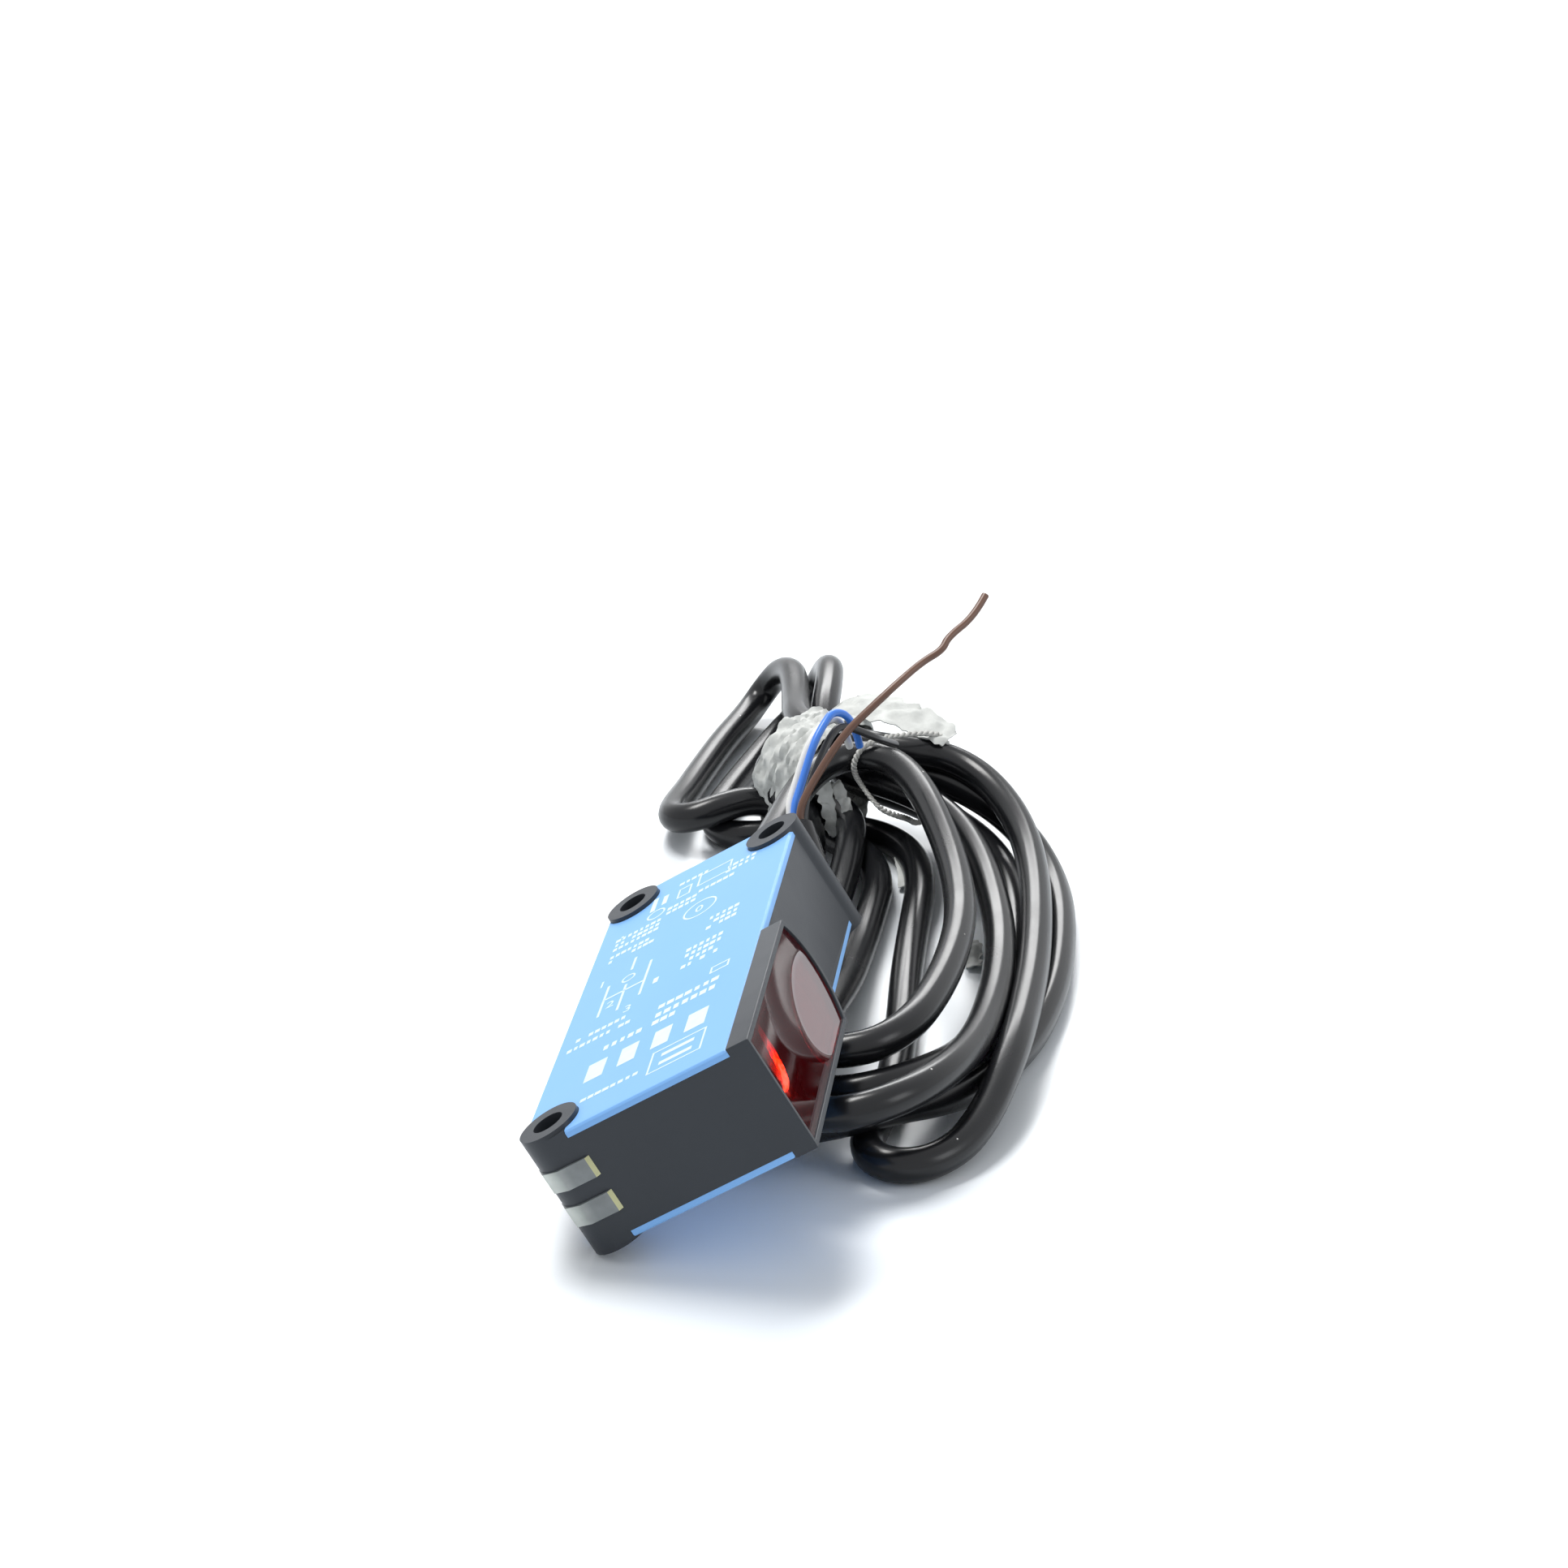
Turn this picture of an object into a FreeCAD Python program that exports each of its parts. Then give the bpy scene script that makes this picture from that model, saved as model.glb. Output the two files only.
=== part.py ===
import FreeCAD, Part
import math
import os
import Sketcher

# Photoelectric sensor with a moulded-in cable, leaning on its own tied hank of cable.
# The sensor is drawn lying flat in its own axes: X runs from the back face to the lens side,
# Y from the indicator end to the cable end, Z from the rear cover to the label cover.
# Each node's Placement then tips it about Y, so that it stands on its long back edge.
# The cable, its hank and its ties lie on the surface z = 0, in the tipped frame.

V = FreeCAD.Vector
UP = V(0, 0, 1)

doc = FreeCAD.newDocument("photoelectric_sensor")
dims = doc.addObject("Spreadsheet::Sheet", "dims")

DIMENSIONS = [
    # whole sensor
    ("total_length", 75.5), ("total_depth", 33.5), ("total_thickness", 17.6),
    ("lean_angle", 31.4), ("body_depth", 30.4), ("wall", 1.6),
    # covers: thickness, and how far their faces lie below the eyelet ends
    ("cover_inset", 0.57), ("cover_thickness", 1.0), ("cover_bevel", 0.3), ("eyelet_gap", 0.05),
    ("shoulder_reach", 6.9), ("shoulder_width", 1.3),
    # mounting eyelets
    ("eyelet_radius", 4.1), ("hole_radius", 2.1), ("eyelet_back", 4.1), ("eyelet_front", 27.1),
    ("eyelet_low", 4.1), ("eyelet_high", 71.4),
    # lens block on the front face
    ("block_inset", 0.5), ("block_rim", 0.8), ("block_arc_radius", 13.0), ("block_reach", 38.2),
    ("block_end_rim", 0.9), ("window_recess", 0.35), ("window_thickness", 1.9), ("seal_width", 0.8),
    # optics
    ("optics_low", 3.0), ("optics_high", 34.5), ("optics_edge", 3.0), ("carrier_back", 12.0),
    ("carrier_margin", 0.6), ("sender_place", 11.0), ("receiver_place", 26.5), ("lens_radius", 5.0),
    ("lens_thickness", 2.2), ("lens_curve", 9.0), ("bore_radius", 4.4), ("bore_end", 13.4),
    ("film_thickness", 0.2), ("film_size", 11.0), ("chip_pocket", 2.2),
    ("sender_size", 3.0), ("sender_height", 1.0), ("dome_radius", 1.2),
    ("diode_size", 4.0), ("diode_height", 0.9), ("optics_board_thickness", 1.0),
    # light guides
    ("guide_width", 2.9), ("guide_skin", 1.0), ("guide_edge", 7.9), ("guide_wrap", 6.0),
    ("guide_root", 9.4), ("power_guide_low", 10.0), ("status_guide_low", 4.75),
    # main board and what it carries
    ("board_low", 7.0), ("board_thickness", 1.0), ("board_gap", 0.2), ("board_near", 36.0),
    ("board_far", 66.0), ("tongue_near", 9.8), ("tongue_front", 10.4), ("post_radius", 1.4),
    ("post_a_x", 5.0), ("post_a_y", 40.0), ("post_b_x", 25.5), ("post_b_y", 62.0),
    ("post_c_x", 4.0), ("post_c_y", 20.0),
    ("led_width", 1.6), ("led_depth", 1.8), ("led_gap", 0.2), ("can_size", 9.0), ("can_height", 3.2),
    ("can_wall", 0.3), ("can_x", 18.0), ("can_y", 39.0),
    ("chip_size", 6.0), ("chip_height", 1.2), ("chip_x", 12.0), ("chip_y", 50.0),
    ("driver_x", 4.0), ("driver_y", 48.0), ("driver_width", 4.0), ("driver_length", 5.0),
    ("driver_height", 1.6), ("amplifier_size", 4.0), ("amplifier_height", 1.0),
    ("part_width", 1.3), ("part_length", 2.2), ("part_height", 1.1), ("part_pitch", 3.2),
    ("pin_size", 0.5), ("pin_pitch", 2.5), ("pin_count", 6), ("pin_start", 13.0),
    # cable way out
    ("exit_x", 16.0), ("exit_z", 8.8), ("cable_radius", 2.35), ("gland_neck", 3.2),
    ("gland_flange", 4.0), ("gland_collar", 3.8), ("flange_thickness", 1.3),
    ("collar_thickness", 1.5), ("clamp_radius", 3.3), ("clamp_length", 2.0), ("clamp_gap", 0.3),
    ("jacket_end", 69.5), ("conductor_radius", 0.59),
    # hank and its ties
    ("hank_top", 14.2), ("hank_back_top", 13.8), ("waist_radius", 8.9), ("waist_length", 20.0),
    ("waist_height", 9.6), ("tape_thickness", 0.6), ("tape_length", 11.0), ("tie_thickness", 0.5),
    ("tie_length", 1.4), ("hank_clearance", 0.25),
]

for row, (alias, value) in enumerate(DIMENSIONS, 1):
    dims.set(f"A{row}", alias)
    dims.set(f"B{row}", str(value))
    dims.setAlias(f"B{row}", alias)
doc.recompute()
D = {alias: float(dims.get(alias)) for alias, _ in DIMENSIONS}

NODES = []
COVER_TOP = "(dims.total_thickness - dims.cover_inset)"
COVER_UNDER = f"({COVER_TOP} - dims.cover_thickness)"
REAR_TOP = "(dims.cover_inset + dims.cover_thickness)"
MIDDLE = "(dims.total_thickness / 2)"
BOARD_TOP = "(dims.board_low + dims.board_thickness)"


def amount(expression):
    """The present value of an expression over the spreadsheet."""
    return float(getattr(dims.evalExpression(expression), "Value", dims.evalExpression(expression)))


def tip(node):
    """Tip a sensor piece about Y on to its back edge and centre the sensor over the origin."""
    node.Placement = FreeCAD.Placement(V(0, 0, 0), FreeCAD.Rotation(V(0, -1, 0), 1))
    node.setExpression("Placement.Rotation.Angle", "dims.lean_angle")
    node.setExpression(
        "Placement.Base.x",
        "-(dims.total_depth * cos(dims.lean_angle) - dims.block_inset * sin(dims.lean_angle)"
        " - dims.total_thickness * sin(dims.lean_angle)) / 2")
    node.setExpression("Placement.Base.y", "-dims.total_length / 2")
    NODES.append(node)
    return node


def named(kind, label, **sizes):
    """A document object of the given kind, its sizes bound to expressions."""
    node = doc.addObject(kind, label)
    node.Label = label
    for size, expression in sizes.items():
        node.setExpression(size, str(expression))
    return node


def at(node, x="0", y="0", z="0"):
    """Bind where a primitive stands in the sensor's own axes."""
    for axis, expression in zip("xyz", (x, y, z)):
        node.setExpression(f"Placement.Base.{axis}", str(expression))
    return node


def box(label, size, place):
    return at(named("Part::Box", label, Length=size[0], Width=size[1], Height=size[2]), *place)


def block(label, size, place):
    """A plain block that is a node of its own."""
    return tip(group(label, box(label + "_block", size, place)))


def cylinder(label, radius, height, place, turn=None):
    node = named("Part::Cylinder", label, Radius=radius, Height=height)
    if turn:
        node.Placement = FreeCAD.Placement(V(0, 0, 0), turn)
    return at(node, *place)


ALONG_X = FreeCAD.Rotation(V(0, 1, 0), 90)
ALONG_Y = FreeCAD.Rotation(V(1, 0, 0), -90)


def fuse(label, *shapes):
    node = named("Part::MultiFuse", label)
    node.Shapes = list(shapes)
    return node


def cut(label, base, tool):
    node = named("Part::Cut", label)
    node.Base, node.Tool = base, tool
    return node


def group(label, *shapes):
    """One node of loose solids: identical small pieces, or one plain block."""
    node = named("Part::Compound", label)
    node.Links = list(shapes)
    return node


# --- sketches ---------------------------------------------------------------------------

def sketch_on(body, name, role, level):
    sketch = body.newObject("Sketcher::SketchObject", name)
    plane = next(item for item in body.Origin.OriginFeatures if item.Role == role)
    sketch.AttachmentSupport = [(plane, "")]
    sketch.MapMode = "FlatFace"
    sketch.setExpression("AttachmentOffset.Base.z", str(level))
    return sketch


def bind(sketch, kind, *where_and_expression):
    """Add a dimension to a sketch and drive it with an expression."""
    *where, expression = where_and_expression
    index = sketch.addConstraint(Sketcher.Constraint(kind, *where, amount(expression)))
    sketch.setExpression(f"Constraints[{index}]", str(expression))


def polygon(sketch, corners):
    """A closed outline with straight sides; corners are pairs of expressions."""
    first = sketch.GeometryCount
    points = [V(amount(x), amount(y), 0) for x, y in corners]
    count = len(points)
    for i in range(count):
        sketch.addGeometry(Part.LineSegment(points[i], points[(i + 1) % count]))
    for i in range(count):
        following = first + (i + 1) % count
        sketch.addConstraint(Sketcher.Constraint("Coincident", first + i, 2, following, 1))
    for i, (x, y) in enumerate(corners):
        bind(sketch, "DistanceX", -1, 1, first + i, 1, x)
        bind(sketch, "DistanceY", -1, 1, first + i, 1, y)


def rectangle(sketch, left, right, low, high):
    polygon(sketch, [(left, low), (right, low), (right, high), (left, high)])


def circle(sketch, x, y, radius):
    centre = V(amount(x), amount(y), 0)
    index = sketch.addGeometry(Part.Circle(centre, UP, amount(radius)))
    bind(sketch, "DistanceX", -1, 1, index, 3, x)
    bind(sketch, "DistanceY", -1, 1, index, 3, y)
    bind(sketch, "Radius", index, radius)


def arched(sketch, start, reach, low, high, radius):
    """A rectangle whose far side is an arc that reaches furthest at mid height."""
    x0, x1 = amount(start), amount(reach)
    y0, y1, bend = amount(low), amount(high), amount(radius)
    centre = V(x1 - bend, (y0 + y1) / 2, 0)
    half = math.asin((y1 - y0) / 2 / bend)
    corner = centre.x + bend * math.cos(half)
    first = sketch.GeometryCount
    sketch.addGeometry(Part.LineSegment(V(x0, y0, 0), V(corner, y0, 0)))
    sketch.addGeometry(Part.ArcOfCircle(Part.Circle(centre, UP, bend), -half, half))
    sketch.addGeometry(Part.LineSegment(V(corner, y1, 0), V(x0, y1, 0)))
    sketch.addGeometry(Part.LineSegment(V(x0, y1, 0), V(x0, y0, 0)))
    for a, end, b, start_point in ((0, 2, 1, 1), (1, 2, 2, 1), (2, 2, 3, 1), (3, 2, 0, 1)):
        sketch.addConstraint(Sketcher.Constraint("Coincident", first + a, end, first + b, start_point))
    sketch.addConstraint(Sketcher.Constraint("Horizontal", first))
    sketch.addConstraint(Sketcher.Constraint("Horizontal", first + 2))
    sketch.addConstraint(Sketcher.Constraint("Vertical", first + 3))
    bind(sketch, "DistanceX", -1, 1, first, 1, start)
    bind(sketch, "DistanceY", -1, 1, first, 1, low)
    bind(sketch, "DistanceY", -1, 1, first + 2, 1, high)
    bind(sketch, "DistanceX", -1, 1, first + 1, 3, f"({reach}) - ({radius})")
    bind(sketch, "Radius", first + 1, radius)


def pad(body, sketch, length, reverse=False):
    feature = body.newObject("PartDesign::Pad", sketch.Name + "_pad")
    feature.Profile = sketch
    feature.setExpression("Length", str(length))
    feature.Reversed = reverse
    sketch.Visibility = False
    return feature


def pocket(body, sketch, length, reverse=False):
    """Cut towards the sketch's back, or its front when reversed, and prove that it cut."""
    doc.recompute()
    before = body.Shape.Volume
    feature = body.newObject("PartDesign::Pocket", sketch.Name + "_pocket")
    feature.Profile = sketch
    feature.setExpression("Length", str(length))
    feature.Reversed = reverse
    doc.recompute()
    if body.Shape.Volume > before - 1e-3:
        raise RuntimeError(f"{sketch.Name} removes nothing from {body.Label}")
    return feature


def new_body(label):
    body = doc.addObject("PartDesign::Body", label)
    body.Label = label
    return body


def eyelet_places():
    return [("dims.eyelet_back", "dims.eyelet_low"), ("dims.eyelet_back", "dims.eyelet_high"),
            ("dims.eyelet_front", "dims.eyelet_high")]


def body_outline(sketch):
    """Side outline of the housing; its three eyelet corners are cut inside the eyelet circles."""
    polygon(sketch, [
        ("dims.eyelet_back", "0"), ("dims.body_depth", "0"), ("dims.body_depth", "dims.eyelet_high"),
        ("dims.eyelet_front", "dims.total_length"), ("dims.eyelet_back", "dims.total_length"),
        ("0", "dims.eyelet_high"), ("0", "dims.eyelet_low")])


# --- housing ----------------------------------------------------------------------------

def light_guide(label, low):
    """Clear strip round the back corner with a stem that runs in to its indicator lamp."""
    outer = cylinder(label + "_outer", "dims.eyelet_radius", "dims.guide_width",
                     ("dims.eyelet_back", "dims.eyelet_low", low))
    outer.Placement = FreeCAD.Placement(outer.Placement.Base, FreeCAD.Rotation(UP, 180))
    outer.Angle = 90
    inner = cylinder(label + "_inner", "dims.eyelet_radius - dims.guide_skin", "dims.guide_width",
                     ("dims.eyelet_back", "dims.eyelet_low", low))
    corner = cut(label + "_corner", outer, inner)
    end_strip = box(label + "_end_strip",
                    ("dims.guide_edge - dims.eyelet_back", "dims.guide_skin", "dims.guide_width"),
                    ("dims.eyelet_back", "dims.eyelet_low - dims.eyelet_radius", low))
    back_strip = box(label + "_back_strip",
                     ("dims.guide_skin", "dims.guide_wrap - dims.eyelet_low", "dims.guide_width"),
                     ("dims.eyelet_back - dims.eyelet_radius", "dims.eyelet_low", low))
    stem = box(label + "_stem",
               ("dims.guide_skin", "dims.guide_root - dims.guide_skin", "dims.guide_width"),
               ("dims.guide_edge - dims.guide_skin", "dims.guide_skin", low))
    return fuse(label, corner, end_strip, back_strip, stem)


def make_housing():
    body = new_body("housing_core")
    outline = sketch_on(body, "housing_outline", "XY_Plane", REAR_TOP)
    body_outline(outline)
    pad(body, outline, f"{COVER_UNDER} - {REAR_TOP}")

    cavity = sketch_on(body, "housing_cavity", "XY_Plane", COVER_UNDER)
    rectangle(cavity, "dims.wall", "dims.body_depth - dims.wall", "dims.wall",
              "dims.total_length - dims.wall")
    pocket(body, cavity, f"{COVER_UNDER} - {REAR_TOP}")

    columns = sketch_on(body, "eyelet_columns", "XY_Plane", "0")
    for x, y in eyelet_places():
        circle(columns, x, y, "dims.eyelet_radius")
    pad(body, columns, "dims.total_thickness")

    # a shoulder fills the thin corner between the indicator-end eyelet and the covers' ends
    shoulder = sketch_on(body, "shoulder", "XY_Plane", "dims.cover_inset")
    rectangle(shoulder, "dims.eyelet_back", "dims.shoulder_reach", "0", "dims.shoulder_width")
    pad(body, shoulder, "dims.total_thickness - 2 * dims.cover_inset")

    holes = sketch_on(body, "eyelet_holes", "XY_Plane", "dims.total_thickness")
    for x, y in eyelet_places():
        circle(holes, x, y, "dims.hole_radius")
    pocket(body, holes, "dims.total_thickness")

    mouth = sketch_on(body, "optics_mouth", "YZ_Plane", "dims.body_depth")
    rectangle(mouth, "dims.optics_low", "dims.optics_high", "dims.optics_edge",
              "dims.total_thickness - dims.optics_edge")
    pocket(body, mouth, "dims.wall")

    cable_hole = sketch_on(body, "cable_hole", "XZ_Plane", "-dims.total_length")
    circle(cable_hole, "dims.exit_x", "dims.exit_z", "dims.gland_neck")
    pocket(body, cable_hole, "dims.wall", reverse=True)

    slots = fuse("guide_slots", light_guide("power_slot", "dims.power_guide_low"),
                 light_guide("status_slot", "dims.status_guide_low"))
    tip(cut("housing_frame", body, slots))


def make_cover(label, low, post_start, post_end, bevel_high):
    """Flat cover cut out round the eyelets, with posts that clamp the main board."""
    body = new_body(label)
    plate = sketch_on(body, label + "_plate", "XY_Plane", low)
    body_outline(plate)
    pad(body, plate, "dims.cover_thickness")
    doc.recompute()
    outer = amount(f"{low} + dims.cover_thickness") if bevel_high else amount(low)
    edges = [f"Edge{i}" for i, edge in enumerate(body.Shape.Edges, 1)
             if all(abs(vertex.Z - outer) < 1e-6 for vertex in edge.Vertexes)]
    plain = body.Tip
    bevel = body.newObject("PartDesign::Chamfer", label + "_bevel")
    bevel.Base = (plain, edges)
    bevel.setExpression("Size", "dims.cover_bevel")
    gaps = sketch_on(body, label + "_gaps", "XY_Plane", f"{low} + dims.cover_thickness")
    for x, y in eyelet_places():
        circle(gaps, x, y, "dims.eyelet_radius + dims.eyelet_gap")
    pocket(body, gaps, "dims.cover_thickness")
    corner = sketch_on(body, label + "_corner", "XY_Plane", f"{low} + dims.cover_thickness")
    rectangle(corner, "0", "dims.shoulder_reach + dims.eyelet_gap", "0 - dims.wall",
              "dims.shoulder_width + dims.eyelet_gap")
    pocket(body, corner, "dims.cover_thickness")

    posts = sketch_on(body, label + "_posts", "XY_Plane", post_start)
    for which in "abc":
        circle(posts, f"dims.post_{which}_x", f"dims.post_{which}_y", "dims.post_radius")
    pad(body, posts, f"{post_end} - {post_start}")
    tip(body)


def make_window():
    """Lens block: frame, seal and red window, all with the same arched far end."""
    low, high = "dims.block_inset", "dims.total_thickness - dims.block_inset"
    window_front = "(dims.total_depth - dims.window_recess)"
    window_back = f"({window_front} - dims.window_thickness)"

    def opening(sketch, inset):
        arched(sketch, f"dims.block_rim + {inset}", f"dims.block_reach - dims.block_end_rim - {inset}",
               f"{low} + dims.block_rim + {inset}", f"{high} - dims.block_rim - {inset}",
               f"dims.block_arc_radius - dims.block_end_rim - {inset}")

    frame = new_body("window_frame")
    outline = sketch_on(frame, "frame_outline", "YZ_Plane", "dims.body_depth")
    arched(outline, "0", "dims.block_reach", low, high, "dims.block_arc_radius")
    pad(frame, outline, "dims.total_depth - dims.body_depth")
    through = sketch_on(frame, "frame_opening", "YZ_Plane", "dims.total_depth")
    opening(through, "0")
    pocket(frame, through, "dims.total_depth - dims.body_depth")
    tip(frame)

    seal = new_body("window_seal")
    ring = sketch_on(seal, "seal_ring", "YZ_Plane", "dims.body_depth")
    opening(ring, "0")
    opening(ring, "dims.seal_width")
    pad(seal, ring, f"{window_back} - dims.body_depth")
    tip(seal)

    window = new_body("front_window")
    pane = sketch_on(window, "window_pane", "YZ_Plane", window_back)
    opening(pane, "0")
    pad(window, pane, "dims.window_thickness")
    tip(window)


# --- optics -----------------------------------------------------------------------------

CHANNELS = [("sender", "dims.sender_place"), ("receiver", "dims.receiver_place")]


def make_carrier():
    """Black optics carrier, clamped between the covers and seated on the front wall."""
    carrier = new_body("optics_carrier")
    inside = "(dims.body_depth - dims.wall)"
    block = sketch_on(carrier, "carrier_block", "YZ_Plane", "dims.carrier_back")
    rectangle(block, "dims.optics_low - dims.carrier_margin", "dims.optics_high + dims.carrier_margin",
              REAR_TOP, COVER_UNDER)
    pad(carrier, block, f"{inside} - dims.carrier_back")
    nose = sketch_on(carrier, "carrier_nose", "YZ_Plane", inside)
    rectangle(nose, "dims.optics_low", "dims.optics_high", "dims.optics_edge",
              "dims.total_thickness - dims.optics_edge")
    pad(carrier, nose, "dims.wall - dims.film_thickness")

    front = "(dims.body_depth - dims.film_thickness)"
    for name, place in CHANNELS:
        seat = sketch_on(carrier, name + "_seat", "YZ_Plane", front)
        circle(seat, place, MIDDLE, "dims.lens_radius")
        pocket(carrier, seat, "dims.lens_thickness")
        bore = sketch_on(carrier, name + "_bore", "YZ_Plane", front)
        circle(bore, place, MIDDLE, "dims.bore_radius")
        pocket(carrier, bore, f"{front} - dims.bore_end")
        chip = sketch_on(carrier, name + "_pocket", "YZ_Plane", "dims.bore_end")
        rectangle(chip, f"{place} - dims.chip_pocket", f"{place} + dims.chip_pocket",
                  f"{MIDDLE} - dims.chip_pocket", f"{MIDDLE} + dims.chip_pocket")
        pocket(carrier, chip, "dims.bore_end - dims.carrier_back")
    tip(carrier)


def make_channel(name, place):
    """Lens and polarising film of one optical channel."""
    front = "(dims.body_depth - dims.film_thickness)"
    disc = cylinder(name + "_disc", "dims.lens_radius", "dims.lens_thickness",
                    (f"{front} - dims.lens_thickness", place, MIDDLE), ALONG_X)
    ball = at(named("Part::Sphere", name + "_ball", Radius="dims.lens_curve"),
              f"{front} - dims.lens_curve", place, MIDDLE)
    lens = named("Part::Common", name + "_lens")
    lens.Base, lens.Tool = disc, ball
    tip(lens)
    half = "dims.film_size / 2"
    block(name + "_polarising_film", ("dims.film_thickness", "dims.film_size", "dims.film_size"),
            (front, f"{place} - {half}", f"{MIDDLE} - {half}"))


def make_emitter_and_receiver():
    def on_board(size):
        return f"{MIDDLE} - {size} / 2"
    case = box("emitter_case", ("dims.sender_height", "dims.sender_size", "dims.sender_size"),
               ("dims.carrier_back", "dims.sender_place - dims.sender_size / 2",
                on_board("dims.sender_size")))
    dome = at(named("Part::Sphere", "emitter_dome", Radius="dims.dome_radius"),
              "dims.carrier_back + dims.sender_height", "dims.sender_place", MIDDLE)
    dome.Placement = FreeCAD.Placement(dome.Placement.Base, ALONG_X)
    dome.Angle1 = 0
    tip(fuse("sender_red_led", case, dome))
    block("receiver_photodiode", ("dims.diode_height", "dims.diode_size", "dims.diode_size"),
            ("dims.carrier_back", "dims.receiver_place - dims.diode_size / 2",
             on_board("dims.diode_size")))
    block("optics_board",
            ("dims.optics_board_thickness", "dims.optics_high - dims.optics_low",
             f"{COVER_UNDER} - {REAR_TOP} - 2 * dims.board_gap"),
            ("dims.carrier_back - dims.optics_board_thickness", "dims.optics_low",
             f"{REAR_TOP} + dims.board_gap"))


# --- electronics ------------------------------------------------------------------------

def make_main_board():
    board = new_body("main_board")
    outline = sketch_on(board, "board_outline", "XY_Plane", "dims.board_low")
    near_x = "dims.wall + dims.board_gap"
    far_x = "dims.body_depth - dims.wall - dims.board_gap"
    polygon(outline, [
        (near_x, "dims.tongue_near"), ("dims.tongue_front", "dims.tongue_near"),
        ("dims.tongue_front", "dims.board_near"), (far_x, "dims.board_near"),
        (far_x, "dims.board_far"), (near_x, "dims.board_far")])
    pad(board, outline, "dims.board_thickness")
    tip(board)


def make_board_parts():
    lamp_x = "dims.guide_edge - dims.led_width"
    lamp_y = "dims.guide_root + dims.led_gap"
    block("power_indicator_led",
            ("dims.led_width", "dims.led_depth",
             f"dims.power_guide_low + dims.guide_width - {BOARD_TOP}"),
            (lamp_x, f"{lamp_y} + dims.led_gap", BOARD_TOP))
    block("status_indicator_led",
            ("dims.led_width", "dims.led_depth", "dims.board_low - dims.status_guide_low"),
            (lamp_x, f"{lamp_y} + dims.led_gap", "dims.status_guide_low"))

    can = box("can_outside", ("dims.can_size", "dims.can_size", "dims.can_height"),
              ("dims.can_x", "dims.can_y", BOARD_TOP))
    hollow = box("can_inside",
                 ("dims.can_size - 2 * dims.can_wall", "dims.can_size - 2 * dims.can_wall",
                  "dims.can_height - dims.can_wall"),
                 ("dims.can_x + dims.can_wall", "dims.can_y + dims.can_wall", BOARD_TOP))
    tip(cut("shield_can", can, hollow))
    middle = "(dims.can_size - dims.amplifier_size) / 2"
    block("amplifier_chip", ("dims.amplifier_size", "dims.amplifier_size", "dims.amplifier_height"),
            (f"dims.can_x + {middle}", f"dims.can_y + {middle}", BOARD_TOP))
    block("evaluation_chip", ("dims.chip_size", "dims.chip_size", "dims.chip_height"),
            ("dims.chip_x", "dims.chip_y", BOARD_TOP))
    block("output_driver", ("dims.driver_width", "dims.driver_length", "dims.driver_height"),
            ("dims.driver_x", "dims.driver_y", BOARD_TOP))
    tip(group("board_capacitors", *[
        box(f"capacitor_{i}", ("dims.part_width", "dims.part_length", "dims.part_height"),
            (f"dims.driver_x + dims.part_pitch * {i}", "dims.board_near + dims.part_pitch * 2",
             BOARD_TOP)) for i in range(1, 4)]))
    tip(group("protection_diodes", *[
        box(f"diode_{i}", ("dims.part_length", "dims.part_width", "dims.part_height"),
            ("dims.chip_x + dims.part_pitch * 3", f"dims.chip_y + dims.part_pitch * {i}",
             BOARD_TOP)) for i in range(3)]))
    tip(group("board_link_pins", *[
        box(f"link_pin_{i}",
            ("dims.carrier_back - dims.optics_board_thickness - dims.tongue_front + dims.wall",
             "dims.pin_size", "dims.pin_size"),
            ("dims.tongue_front - dims.wall", f"dims.pin_start + dims.pin_pitch * {i}", BOARD_TOP))
        for i in range(int(D["pin_count"]))]))


def make_gland():
    """Soft bush in the end wall and the metal clamp on the jacket behind it."""
    centre = ("dims.exit_x", "dims.exit_z")

    def disc(label, radius, start, length):
        return cylinder(label, radius, length, (centre[0], start, centre[1]), ALONG_Y)

    inside = "(dims.total_length - dims.wall)"
    flange = disc("gland_inner_flange", "dims.gland_flange", f"{inside} - dims.flange_thickness",
                  "dims.flange_thickness")
    neck = disc("gland_neck_part", "dims.gland_neck", inside, "dims.wall")
    collar = disc("gland_outer_collar", "dims.gland_collar", "dims.total_length",
                  "dims.collar_thickness")
    bore = disc("gland_bore", "dims.cable_radius", f"{inside} - dims.flange_thickness",
                "dims.wall + dims.flange_thickness + dims.collar_thickness")
    tip(cut("cable_gland", fuse("gland_solid", flange, neck, collar), bore))

    clamp_start = f"{inside} - dims.flange_thickness - dims.clamp_gap - dims.clamp_length"
    tip(cut("cable_clamp",
            disc("clamp_outside", "dims.clamp_radius", clamp_start, "dims.clamp_length"),
            disc("clamp_inside", "dims.cable_radius", clamp_start, "dims.clamp_length")))


# --- cords ------------------------------------------------------------------------------

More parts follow.
